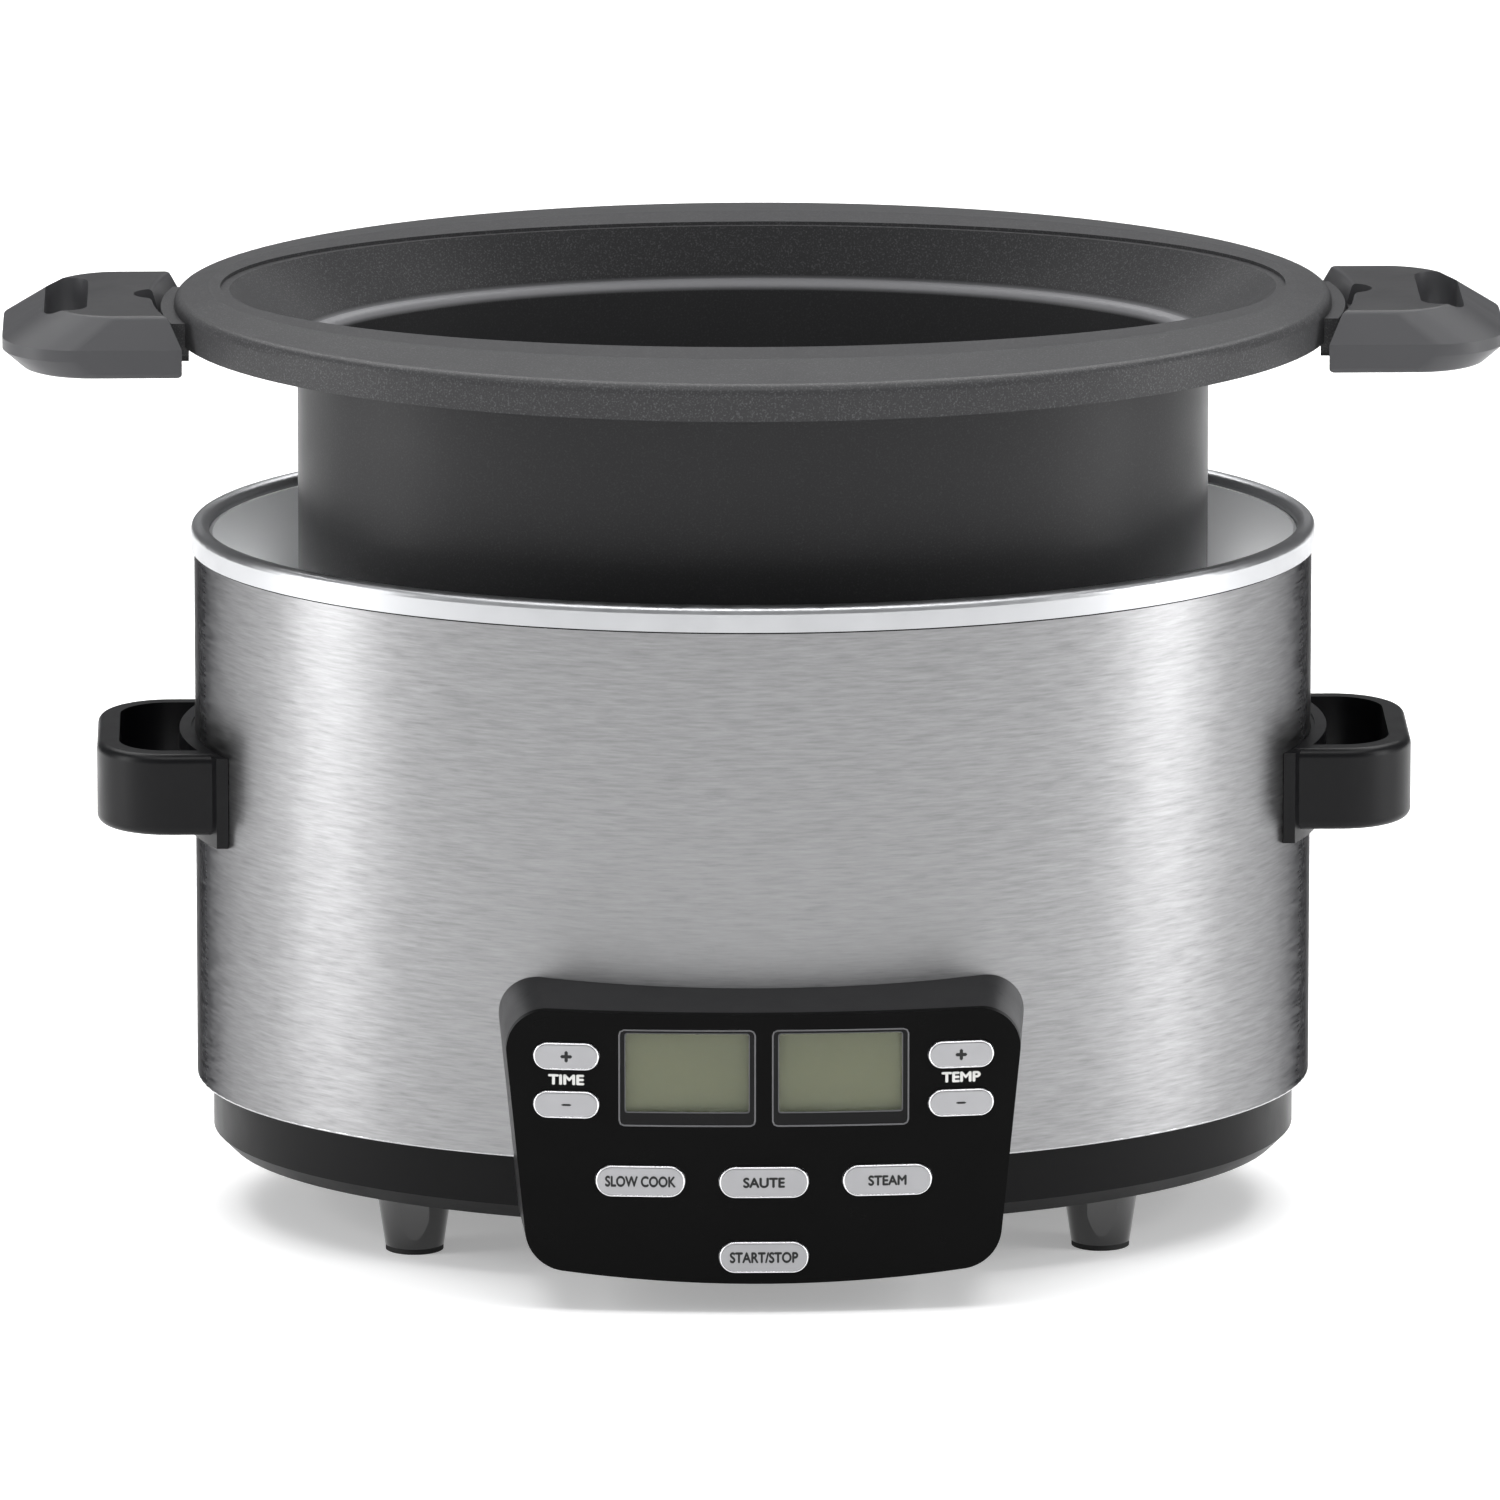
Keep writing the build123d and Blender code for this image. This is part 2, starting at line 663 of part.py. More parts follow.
with BuildPart() as pot_hollow:
    oval(well_a, well_b, pot_bottom + pot_floor, pot_depth - pot_floor - ledge_depth)
    fillet(edges_at(pot_hollow.part, pot_bottom + pot_floor), radius=12)
    oval_taper(
        well_a + ledge_width,
        well_b + ledge_width,
        pot_top - ledge_depth,
        mouth_a,
        mouth_b,
        pot_top,
    )
    ledge_edges = edges_at(pot_hollow.part, pot_top - ledge_depth).sort_by(SortBy.LENGTH)
    fillet(ledge_edges[0], radius=3)
    # narrow ledge that a lid would drop into
    oval(mouth_a + 1.4, mouth_b + 1.4, pot_top - 1.0, 2)

with BuildPart() as cooking_pot:
    oval(well_a + pot_wall, well_b + pot_wall, pot_bottom, pot_depth - ledge_depth - 5)
    fillet(edges_at(cooking_pot.part, pot_bottom), radius=14)
    oval_taper(
        well_a + pot_wall,
        well_b + pot_wall,
        pot_top - ledge_depth - 5,
        mouth_a + pot_wall,
        mouth_b + pot_wall + 1,
        flange_low + 1,
    )
    oval_ring(
        flange_a,
        flange_b,
        skirt_wall,
        pot_top - flange_drop - skirt_height,
        skirt_height - flange_wall + 0.5,
    )
    oval(flange_a, flange_b, flange_low, flange_wall)
    oval_taper(flange_a, flange_b, pot_top - flange_drop, crown_a, crown_b, pot_top)
    fillet(edges_at(cooking_pot.part, pot_top - flange_drop), radius=2.9)
    # neck and tab that carry each grip
    with BuildSketch(level(tab_z - tab_wall / 2)):
        Rectangle(2 * tab_end, 2 * tab_half)
        Ellipse(flange_a - 1, flange_b - 1, mode=Mode.SUBTRACT)
    extrude(amount=tab_wall)
    with BuildSketch(level(tab_z - 4.5)):
        Ellipse(flange_a + grip_gap - 0.3, flange_b + grip_gap - 0.3)
        Rectangle(2 * grip_reach, 2 * tab_half + 8, mode=Mode.INTERSECT)
        Ellipse(flange_a - 1, flange_b - 1, mode=Mode.SUBTRACT)
    extrude(amount=11)
    posts(grip_screws_at, 1.9, tab_z - 5, 10, Mode.SUBTRACT)
    add(pot_hollow.part, mode=Mode.SUBTRACT)
write(cooking_pot, "cooking_pot")

grip_low = grip_top - grip_height


def grip_section(side, z, drawn_in, end_drawn_in, corner):
    """Outline of one grip at a height, drawn in at its sides and at its outer end."""
    far = grip_reach - end_drawn_in
    with BuildSketch(level(z)) as section:
        with Locations((side * (140 + far) / 2, 0)):
            Rectangle(far - 140, 2 * (grip_half_depth - drawn_in))
        ends = section.vertices().sort_by(Axis.X)
        fillet(ends[-2:] if side > 0 else ends[:2], radius=corner)
        gap = grip_gap + drawn_in / 2
        Ellipse(flange_a + gap, flange_b + gap, mode=Mode.SUBTRACT)
    return section.sketch


for side, word in ((-1, "left"), (1, "right")):
    with BuildPart() as pot_grip:
        # lower part, which slopes up towards the outer end
        middle = grip_low + (grip_height - grip_bevel) * 0.6
        loft(
            [grip_section(side, grip_low, 0, 6, 22), grip_section(side, middle, 0, 0, 22)],
            ruled=True,
        )
        extrude(grip_section(side, middle, 0, 0, 22), amount=grip_top - grip_bevel - middle)
        # bevelled upper part
        loft(
            [
                grip_section(side, grip_top - grip_bevel, 0, 0, 22),
                grip_section(side, grip_top, grip_side_slope, grip_end_slope, 20),
            ],
            ruled=True,
        )
        fillet(edges_at(pot_grip.part, grip_top), radius=1.5)
        fillet(edges_at(pot_grip.part, grip_low), radius=1.5)
        # finger slot
        with BuildSketch(level(grip_low)):
            with Locations((side * 199, 0)):
                RectangleRounded(12.5, 46, 6)
        extrude(amount=grip_height, mode=Mode.SUBTRACT)
        # round notch over the neck
        posts([(side * (flange_a + grip_gap + 1), 0)], 6.5, tab_z + 4, 20, Mode.SUBTRACT)
        # pocket for the tab, and the screw holes under it
        with Locations((side * (tab_end - 10), axis_y, tab_z)):
            Box(21, 2 * tab_half + 0.4, tab_wall + 0.4, mode=Mode.SUBTRACT)
        places = [place for place in grip_screws_at if place[0] * side > 0]
        posts(places, 1.9, grip_low, 14, Mode.SUBTRACT)
        posts(places, 3.8, grip_low, 2.4, Mode.SUBTRACT)
    write(pot_grip, f"pot_grip_{word}")

with BuildPart() as grip_screws:
    posts(grip_screws_at, 3.5, grip_low + 0.4, 2.0)
    posts(grip_screws_at, 1.7, grip_low + 2.4, 10.5)
write(grip_screws, "grip_screws")
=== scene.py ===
"""Looks of an oval slow cooker: a brushed steel heating base and a lift-out coated pot.

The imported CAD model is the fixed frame. Each sub-assembly is a class that dresses its CAD nodes
and adds the small pieces that CAD left out: the jacket's rolled hem, the cord gland's ribs, the
lips of the displays, the rims of the buttons and the printed labels.
"""

import logging
import math
from dataclasses import dataclass, field
from enum import Enum
from typing import Any, Optional

import bmesh
import bpy
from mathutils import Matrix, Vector
from mathutils.bvhtree import BVHTree


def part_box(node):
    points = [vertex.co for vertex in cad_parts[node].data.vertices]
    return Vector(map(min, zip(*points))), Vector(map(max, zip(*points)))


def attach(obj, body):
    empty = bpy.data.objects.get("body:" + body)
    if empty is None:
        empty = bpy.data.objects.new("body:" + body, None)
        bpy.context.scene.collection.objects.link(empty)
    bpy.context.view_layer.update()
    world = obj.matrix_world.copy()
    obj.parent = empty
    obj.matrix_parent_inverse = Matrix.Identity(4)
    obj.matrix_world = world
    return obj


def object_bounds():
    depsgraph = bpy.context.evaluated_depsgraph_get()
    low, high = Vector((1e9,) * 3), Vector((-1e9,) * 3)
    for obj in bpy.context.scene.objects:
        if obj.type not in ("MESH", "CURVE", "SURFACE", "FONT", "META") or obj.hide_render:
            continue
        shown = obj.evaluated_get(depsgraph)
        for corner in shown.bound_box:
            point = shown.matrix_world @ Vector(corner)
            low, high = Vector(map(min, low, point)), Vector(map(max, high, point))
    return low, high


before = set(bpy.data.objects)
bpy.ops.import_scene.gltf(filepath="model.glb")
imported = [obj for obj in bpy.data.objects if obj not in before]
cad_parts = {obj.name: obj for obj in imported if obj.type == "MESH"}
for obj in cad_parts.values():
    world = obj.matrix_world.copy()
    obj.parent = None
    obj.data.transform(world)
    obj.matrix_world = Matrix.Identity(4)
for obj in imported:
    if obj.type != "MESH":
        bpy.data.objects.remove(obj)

LOG = logging.getLogger("cooker")
CAD_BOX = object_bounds()
MM = 0.001
PATTERN_LOW, PATTERN_HIGH = 0.3, 0.7  # a noise pattern hardly ever leaves this range


def linear(hex_colour: str) -> tuple[float, float, float, float]:
    """Turns an sRGB hex colour into linear RGBA.

    Args:
        hex_colour: six hex digits, with or without a leading hash.

    Returns:
        The linear red, green, blue and an alpha of one.
    """
    digits = hex_colour.lstrip("#")
    parts = [int(digits[i : i + 2], 16) / 255 for i in (0, 2, 4)]
    low = [c / 12.92 if c <= 0.04045 else ((c + 0.055) / 1.055) ** 2.4 for c in parts]
    return (low[0], low[1], low[2], 1.0)


def put(
    tree: bpy.types.NodeTree,
    kind: str,
    inputs: Optional[dict[Any, Any]] = None,
    **settings: Any,
) -> bpy.types.Node:
    """Adds one node to a tree, with its settings, socket values and incoming links.

    Args:
        tree: the node tree to add to.
        kind: the node's type name.
        inputs: socket name or index to a value, or to a socket to link from.
        settings: attributes of the node itself.

    Returns:
        The new node.
    """
    made = tree.nodes.new(kind)
    for name, value in settings.items():
        setattr(made, name, value)
    for key, value in (inputs or {}).items():
        if isinstance(value, bpy.types.NodeSocket):
            tree.links.new(value, made.inputs[key])
        else:
            made.inputs[key].default_value = value
    return made


class Coating(Enum):
    """What lies over a moulded plastic's surface."""

    NONE = 0.0
    LACQUERED = 1.0


@dataclass(frozen=True)
class Finish:
    """One real material with the way its surface was made.

    Attributes:
        name: the material's common name.
        colour: sRGB hex colour.
        roughness: mean roughness.
        metallic: one for bare metal, zero for everything else.
    """

    name: str
    colour: str
    roughness: float
    metallic: float = 0.0

    def material(self) -> bpy.types.Material:
        """Returns the Blender material, made once and shared by every piece that asks."""
        found = bpy.data.materials.get(self.name)
        if found:
            return found
        made = bpy.data.materials.new(self.name)
        made.use_nodes = True
        tree = made.node_tree
        tree.nodes.clear()
        shader = put(
            tree,
            "ShaderNodeBsdfPrincipled",
            {
                "Base Color": linear(self.colour),
                "Roughness": self.roughness,
                "Metallic": self.metallic,
            },
        )
        output = put(tree, "ShaderNodeOutputMaterial", {"Surface": shader.outputs["BSDF"]})
        output.is_active_output = True
        self.detail(tree, shader)
        made.diffuse_color = linear(self.colour)
        return made

    def detail(self, tree: bpy.types.NodeTree, shader: bpy.types.Node) -> None:
        """Adds the finish's own nodes to the shader. The plain finish has none."""

    def place(self, tree: bpy.types.NodeTree, scale: tuple[float, float, float]) -> Any:
        """Object coordinates stretched by a scale.

        Args:
            tree: the material's tree.
            scale: cycles per metre along X, Y and Z.

        Returns:
            The vector socket.
        """
        where = put(tree, "ShaderNodeTexCoord")
        mapping = put(
            tree, "ShaderNodeMapping", {"Vector": where.outputs["Object"], "Scale": scale}
        )
        return mapping.outputs["Vector"]

    def mottle(self, tree: bpy.types.NodeTree, size_mm: float, detail: float = 2.0) -> Any:
        """Even specks or patches of a real size, with no direction.

        Args:
            tree: the material's tree.
            size_mm: their size in millimetres.
            detail: octaves of finer specks within them.

        Returns:
            The value socket, from zero to one.
        """
        cycles = 1 / (size_mm * MM)
        made = put(
            tree,
            "ShaderNodeTexNoise",
            {"Vector": self.place(tree, (cycles,) * 3), "Scale": 1.0, "Detail": detail},
        )
        return made.outputs["Fac"]

    def uneven_gloss(
        self, shader: bpy.types.Node, pattern: Any, smoother: float, rougher: float
    ) -> None:
        """Lets a pattern vary the gloss about its mean.

        Args:
            shader: the material's shader.
            pattern: the value socket of the pattern.
            smoother: how far the roughness falls below its mean.
            rougher: how far it rises above it.
        """
        tree = shader.id_data
        rough = put(
            tree,
            "ShaderNodeMapRange",
            {
                "Value": pattern,
                "From Min": PATTERN_LOW,
                "From Max": PATTERN_HIGH,
                "To Min": self.roughness - smoother,
                "To Max": self.roughness + rougher,
            },
        )
        tree.links.new(rough.outputs["Result"], shader.inputs["Roughness"])

    def relief(
        self, shader: bpy.types.Node, pattern: Any, depth_mm: float, strength: float
    ) -> None:
        """Presses a pattern into the surface.

        Args:
            shader: the material's shader.
            pattern: the value socket of the pattern.
            depth_mm: its depth.
            strength: how much of that depth the light shows.
        """
        tree = shader.id_data
        pressed = put(
            tree,
            "ShaderNodeBump",
            {"Height": pattern, "Distance": depth_mm * MM, "Strength": strength},
        )
        tree.links.new(pressed.outputs["Normal"], shader.inputs["Normal"])


@dataclass(frozen=True)
class BrushedStainless(Finish):
    """Stainless sheet brushed along its length, so the grain runs level round the oval.

    Attributes:
        grain_mm: thickness of one brush line. The real 0.05 mm is too fine to show, so it is
            drawn several times as coarse.
        streak_mm: length of one brush line.
        dark_line: tone of the darkest brush lines, as a share of the sheet's colour.
        bright_line: tone of the brightest ones.
        relief_mm: depth of a brush line.
        anisotropy: how far highlights stretch across the grain.
        painted_edge_shade: sRGB hex tint of the reflection seen almost edge on, a painted shade on
            the jacket's ends.
    """

    grain_mm: float = 0.4
    streak_mm: float = 5.0
    dark_line: float = 0.744
    bright_line: float = 1.16
    relief_mm: float = 0.0015
    anisotropy: float = 0.6
    painted_edge_shade: str = "#464647"

    def detail(self, tree: bpy.types.NodeTree, shader: bpy.types.Node) -> None:
        """Adds level brush lines to the colour, roughness and relief."""
        along, across = 1 / (self.streak_mm * MM), 1 / (self.grain_mm * MM)
        fine = put(
            tree,
            "ShaderNodeTexNoise",
            {
                "Vector": self.place(tree, (along, along, across)),
                "Scale": 1.0,
                "Detail": 3.0,
                "Roughness": 0.7,
            },
        ).outputs["Fac"]
        broad = put(
            tree,
            "ShaderNodeTexNoise",
            {
                "Vector": self.place(tree, (along / 2, along / 2, 0.4 * across)),
                "Scale": 1.0,
                "Detail": 1.0,
            },
        ).outputs["Fac"]
        both = put(
            tree, "ShaderNodeMath", {0: fine, 1: broad}, operation="ADD"
        ).outputs["Value"]
        mean = put(tree, "ShaderNodeMath", {0: both, 1: 0.5}, operation="MULTIPLY").outputs["Value"]
        tone = put(
            tree,
            "ShaderNodeMapRange",
            {
                "Value": mean,
                "From Min": PATTERN_LOW,
                "From Max": PATTERN_HIGH,
                "To Min": self.dark_line,
                "To Max": self.bright_line,
            },
        ).outputs["Result"]
        colour = put(
            tree,
            "ShaderNodeMix",
            {"Factor": 1.0, "A": linear(self.colour), "B": tone},
            data_type="RGBA",
            blend_type="MULTIPLY",
        ).outputs["Result"]
        tree.links.new(colour, shader.inputs["Base Color"])
        self.uneven_gloss(shader, mean, 0.06, 0.08)
        self.relief(shader, fine, self.relief_mm, 0.25)
        shader.inputs["Anisotropic"].default_value = self.anisotropy
        shader.inputs["Anisotropic Rotation"].default_value = 0.25
        # painted shade: a dark tint on the reflection seen edge on darkens the jacket's ends
        shader.inputs["Specular Tint"].default_value = linear(self.painted_edge_shade)
        grain = put(tree, "ShaderNodeTangent", direction_type="RADIAL", axis="Z")
        tree.links.new(grain.outputs["Tangent"], shader.inputs["Tangent"])


@dataclass(frozen=True)
class SatinMetal(Finish):
    """Bare metal that was rolled, spun or cast, with a faint uneven sheen.

    Attributes:
        patch_mm: size of the uneven patches.
        spread_by: how much the roughness varies.
    """

    patch_mm: float = 9.0
    spread_by: float = 0.06

    def detail(self, tree: bpy.types.NodeTree, shader: bpy.types.Node) -> None:
        """Adds patches to the gloss and a fine grain to the relief."""
        self.uneven_gloss(
            shader, self.mottle(tree, self.patch_mm, 3.0), self.spread_by, self.spread_by
        )
        self.relief(shader, self.mottle(tree, 0.8), 0.01, 0.3)


@dataclass(frozen=True)
class NonstickEnamel(Finish):
    """Sprayed non-stick coating on cast aluminium: a sandy dark film with mica flecks.

    Attributes:
        painted_light_crest: sRGB hex colour of the flange and the mouth, painted lighter to stand
            in for the light falling on them.
        painted_light_crest_from: height in metres where that painted lighter top begins, in the
            pot's stored pose.
        inside: sRGB hex colour of the coat below the mouth, painted paler to stand in for light on
            the inner walls.
        painted_ledge_highlight: sRGB hex colour of the ledge's edge, a painted highlight.
        mouth: half width, half depth and centre of the mouth, in metres.
        ledge_z: height in metres of the ledge's edge that carries the painted highlight, in the
            pot's stored pose.
        fleck: sRGB hex colour of the flecks.
        fleck_mm: spacing of the flecks. Real ones are 0.1 mm, drawn coarser so that they show.
        fleck_share: how much of the surface the flecks tint.
        cloud_mm: size of the slow clouding in the gloss.
        sand_mm: size of the sandy grain.
        specular: strength of the film's own reflection.
    """

    # colours of the painted lighter top, the painted paler inside and the painted ledge highlight
    # follow
    painted_light_crest: str = "#373738"
    painted_light_crest_from: float = 0.2575
    inside: str = "#303031"
    painted_ledge_highlight: str = "#6E6E70"
    mouth: tuple[float, float, float] = (0.156, 0.0905, 0.0036)
    ledge_z: float = 0.2558
    fleck: str = "#8A8A8C"
    fleck_mm: float = 0.5
    fleck_share: float = 0.3
    cloud_mm: float = 22.0
    sand_mm: float = 0.7
    specular: float = 0.15

    def detail(self, tree: bpy.types.NodeTree, shader: bpy.types.Node) -> None:
        """Adds the painted lighter top, the painted paler inside, the painted ledge highlight,
        flecks, a sandy relief and slow clouding.
        """
        where = put(tree, "ShaderNodeTexCoord").outputs["Object"]
        height = put(tree, "ShaderNodeSeparateXYZ", {"Vector": where}).outputs["Z"]
        # painted light: the top of the flange and the mouth is painted lighter, as if lit from
        # above
        painted_light_crest = put(
            tree,
            "ShaderNodeMapRange",
            {
                "Value": height,
                "From Min": self.painted_light_crest_from - 0.001,
                "From Max": self.painted_light_crest_from + 0.0015,
            },
        ).outputs["Result"]
        # painted light: below the mouth the coat is painted paler, standing in for light on the
        # inner walls
        within = self.within_mouth(tree, where)
        # painted highlight: a pale band along the ledge's edge
        ledge_highlight_share = put(
            tree,
            "ShaderNodeMath",
            {0: self.on_ledge(tree, height), 1: within},
            operation="MULTIPLY",
        ).outputs["Value"]
        flecks = self.flecks(tree, painted_light_crest)
        film: Any = linear(self.colour)
        for share, colour in (
            (within, self.inside),
            (ledge_highlight_share, self.painted_ledge_highlight),
            (painted_light_crest, self.painted_light_crest),
            (flecks, self.fleck),
        ):
            film = put(
                tree,
                "ShaderNodeMix",
                {"Factor": share, "A": film, "B": linear(colour)},
                data_type="RGBA",
            ).outputs["Result"]
        tree.links.new(film, shader.inputs["Base Color"])
        self.uneven_gloss(shader, self.mottle(tree, self.cloud_mm), 0.03, 0.04)
        self.relief(shader, self.mottle(tree, self.sand_mm), 0.05, 0.35)
        shader.inputs["Specular IOR Level"].default_value = self.specular

    def within_mouth(self, tree: bpy.types.NodeTree, where: Any) -> Any:
        """Returns a value socket, one inside the oval of the mouth and zero outside it."""
        wide, deep, middle = self.mouth
        oval = put(
            tree,
            "ShaderNodeMapping",
            {
                "Vector": where,
                "Location": (0.0, -middle / deep, 0.0),
                "Scale": (1 / wide, 1 / deep, 0.0),
            },
        )
        reach = put(tree, "ShaderNodeVectorMath", {0: oval.outputs["Vector"]}, operation="LENGTH")
        inside = put(
            tree,
            "ShaderNodeMapRange",
            {"Value": reach.outputs["Value"], "From Min": 1.0, "From Max": 0.985},
        )
        return inside.outputs["Result"]

    def on_ledge(self, tree: bpy.types.NodeTree, height: Any) -> Any:
        """Returns a value socket, one at the height of the ledge's edge and zero away from it."""
        above = put(tree, "ShaderNodeMath", {0: height, 1: self.ledge_z}, operation="SUBTRACT")
        away = put(tree, "ShaderNodeMath", {0: above.outputs["Value"]}, operation="ABSOLUTE")
        near = put(
            tree,
            "ShaderNodeMapRange",
            {"Value": away.outputs["Value"], "From Min": 0.002, "From Max": 0.0008},
        )
        return near.outputs["Result"]

    def flecks(self, tree: bpy.types.NodeTree, painted_light_crest: Any) -> Any:
        """Scatters the mica flecks, denser on the painted lighter top than below it.

        Args:
            tree: the material's tree.
            painted_light_crest: value socket, one on the painted lighter top and zero below it.

        Returns:
            The value socket of the flecks.
        """
        bright = put(
            tree,
            "ShaderNodeMapRange",
            {
                "Value": self.mottle(tree, self.fleck_mm, 1.0),
                "From Min": 0.52,
                "From Max": 0.8,
                "To Max": self.fleck_share,
            },
        ).outputs["Result"]
        share = put(
            tree,
            "ShaderNodeMapRange",
            {
                "Value": painted_light_crest,
                "From Min": PATTERN_LOW,
                "From Max": PATTERN_HIGH,
                "To Min": 0.2,
                "To Max": 0.75,
            },
        ).outputs["Result"]
        return put(
            tree, "ShaderNodeMath", {0: bright, 1: share}, operation="MULTIPLY"
        ).outputs["Value"]


@dataclass(frozen=True)
class MouldedPlastic(Finish):
    """Injection-moulded plastic with the tool's spark texture.

    Attributes:
        grain_mm: size of the moulded grain.
        depth_mm: depth of the grain.
        coating: what lies over the plastic.
        specular: strength of the plastic's own reflection.
    """

    grain_mm: float = 0.6
    depth_mm: float = 0.03
    coating: Coating = Coating.NONE
    specular: float = 0.4

    def detail(self, tree: bpy.types.NodeTree, shader: bpy.types.Node) -> None:
        """Adds the moulded grain, slight handling marks and the coating."""
        self.uneven_gloss(shader, self.mottle(tree, 14.0, 3.0), 0.03, 0.05)
        self.relief(shader, self.mottle(tree, self.grain_mm), self.depth_mm, 0.4)
        shader.inputs["IOR"].default_value = 1.5
        shader.inputs["Specular IOR Level"].default_value = self.specular
        shader.inputs["Coat Weight"].default_value = self.coating.value
        shader.inputs["Coat Roughness"].default_value = 0.04


@dataclass(frozen=True)
class GripPlastic(MouldedPlastic):
    """Moulded phenolic with a painted shade: its level top is painted darker than its sides.

    Attributes:
        top: sRGB hex colour of the faces that look up, a painted shade darker than the sides.
    """

    top: str = "#1C1C1E"

    def detail(self, tree: bpy.types.NodeTree, shader: bpy.types.Node) -> None:
        """Adds the moulded grain and the painted shade on the faces that look up."""
        super().detail(tree, shader)
        # painted shade: faces that look up are painted darker
        where = put(tree, "ShaderNodeTexCoord")
        facing = put(tree, "ShaderNodeSeparateXYZ", {"Vector": where.outputs["Normal"]})
        level = put(
            tree,
            "ShaderNodeMapRange",
            {"Value": facing.outputs["Z"], "From Min": 0.75, "From Max": 0.95},
        )
        colour = put(
            tree,
            "ShaderNodeMix",
            {"Factor": level.outputs["Result"], "A": linear(self.colour), "B": linear(self.top)},
            data_type="RGBA",
        )
        tree.links.new(colour.outputs["Result"], shader.inputs["Base Color"])


@dataclass(frozen=True)
class ClearAcrylic(Finish):
    """Polished clear acrylic over a display.

    Attributes:
        tint_share: how much the sheet tints what lies behind it.
    """

    tint_share: float = 0.16

    def detail(self, tree: bpy.types.NodeTree, shader: bpy.types.Node) -> None:
        """Makes the sheet clear, with a faint smear in its gloss."""
        self.uneven_gloss(shader, self.mottle(tree, 12.0), 0.0, 0.05)
        shader.inputs["IOR"].default_value = 1.49
        shader.inputs["Alpha"].default_value = self.tint_share


@dataclass(frozen=True)
class CircuitLaminate(Finish):
    """Glass-epoxy board with solder mask over copper tracks.

    Attributes:
        track: sRGB hex colour over the tracks.
        pitch_mm: spacing of the tracks.
    """

    track: str = "#1F6B3C"
    pitch_mm: float = 2.54

    def detail(self, tree: bpy.types.NodeTree, shader: bpy.types.Node) -> None:
        """Adds pale tracks under the mask."""
        cycles = 1 / (self.pitch_mm * MM)
        tracks = put(
            tree,
            "ShaderNodeTexWave",
            {"Vector": self.place(tree, (cycles,) * 3), "Scale": 0.16, "Distortion": 3.0},
            bands_direction="X",
        ).outputs["Fac"]
        share = put(
            tree, "ShaderNodeMapRange", {"Value": tracks, "From Min": 0.55, "From Max": 0.65}
        )
        colour = put(
            tree,
            "ShaderNodeMix",
            {"Factor": share.outputs["Result"], "A": linear(self.colour), "B": linear(self.track)},
            data_type="RGBA",
        )
        tree.links.new(colour.outputs["Result"], shader.inputs["Base Color"])


# Brushed sheet: level silky lines, bright upright bands and dark ends, darkened by a painted shade
# in the tint seen edge on.
STAINLESS_JACKET = BrushedStainless("brushed_stainless_sheet", "#939394", 0.34, 1.0)
# The same sheet rolled over: a fine bright line under the jacket.
STAINLESS_HEM = SatinMetal("rolled_stainless_edge", "#B9B9BB", 0.25, 1.0)
# Spun and polished with a soft wheel: a smooth pale ring.
RIM_METAL = SatinMetal("satin_aluminium_rim", "#B6B7B9", 0.34, 1.0)
# Fired enamel: an even light grey with a soft gloss.
WELL_ENAMEL = MouldedPlastic("silver_grey_enamel", "#ECEDEE", 0.32, 0.0, 1.5, 0.006)
# Sand-cast face: dull and blotchy.
CAST_METAL = SatinMetal("cast_aluminium", "#9EA0A2", 0.5, 1.0, 6.0)
# Passivated plating: slightly warm, with small cloudy patches.
ZINC_STEEL = SatinMetal("zinc_plated_steel", "#A9AAA6", 0.38, 1.0, 4.0)
# Stainless tube coloured brown by its own heat.
SHEATH = SatinMetal("heat_tinted_sheath", "#6B6258", 0.45, 1.0, 7.0)
# Satin plating over moulded buttons: a calm mid silver.
BUTTON_SILVER = SatinMetal("satin_silver_plated_abs", "#9E9EA0", 0.36, 1.0, 5.0, 0.03)
# Sprayed and baked film: near black and sandy, with pale flecks, a painted lighter top, a painted
# paler inside and a painted highlight on the ledge.
POT_COATING = NonstickEnamel("non_stick_enamel", "#0D0D0E", 0.38)
# Moulded with a fine spark texture: a soft black that shows its curve.
BASE_PLASTIC = MouldedPlastic("black_polypropylene", "#070708", 0.36, specular=0.12)
# The coarser, matt side of the same plastic.
COVER_PLASTIC = MouldedPlastic("matt_black_polypropylene", "#151516", 0.55)
# Compression-moulded and heat-proof: black with thin highlights on its edges.
HANDLE_PLASTIC = MouldedPlastic("black_phenolic", "#08080A", 0.36, specular=0.18)
# A greyer moulding with a painted shade: its top is painted darker than its slopes.
GRIP_PLASTIC = GripPlastic("dark_grey_phenolic", "#404042", 0.42, specular=0.35)
# Satin tool finish: a charcoal frame round the black face.
CASING_PLASTIC = MouldedPlastic("satin_charcoal_abs", "#222223", 0.34, specular=0.35)
# Polished tool and a clear lacquer: sharp highlights on the feet.
FOOT_PLASTIC = MouldedPlastic("gloss_black_abs", "#09090A", 0.2, 0.0, 0.8, 0.01, Coating.LACQUERED)
# Nearly polished: a deep black face with hardly any reflection.
FACE_PLASTIC = MouldedPlastic(
    "semi_gloss_black_abs", "#040404", 0.3, 0.0, 1.2, 0.004, specular=0.06
)
# Polished frame: black slopes round the displays.
BEZEL_PLASTIC = MouldedPlastic(
    "polished_charcoal_abs", "#080809", 0.28, 0.0, 1.0, 0.006, specular=0.15
)
# Polished edge bead, its grey a painted highlight: a fine line round each display.
LIP_PAINTED_HIGHLIGHT = MouldedPlastic("polished_abs_painted_highlight", "#5A5A5C", 0.2, 0.0, 1.0, 0.002)
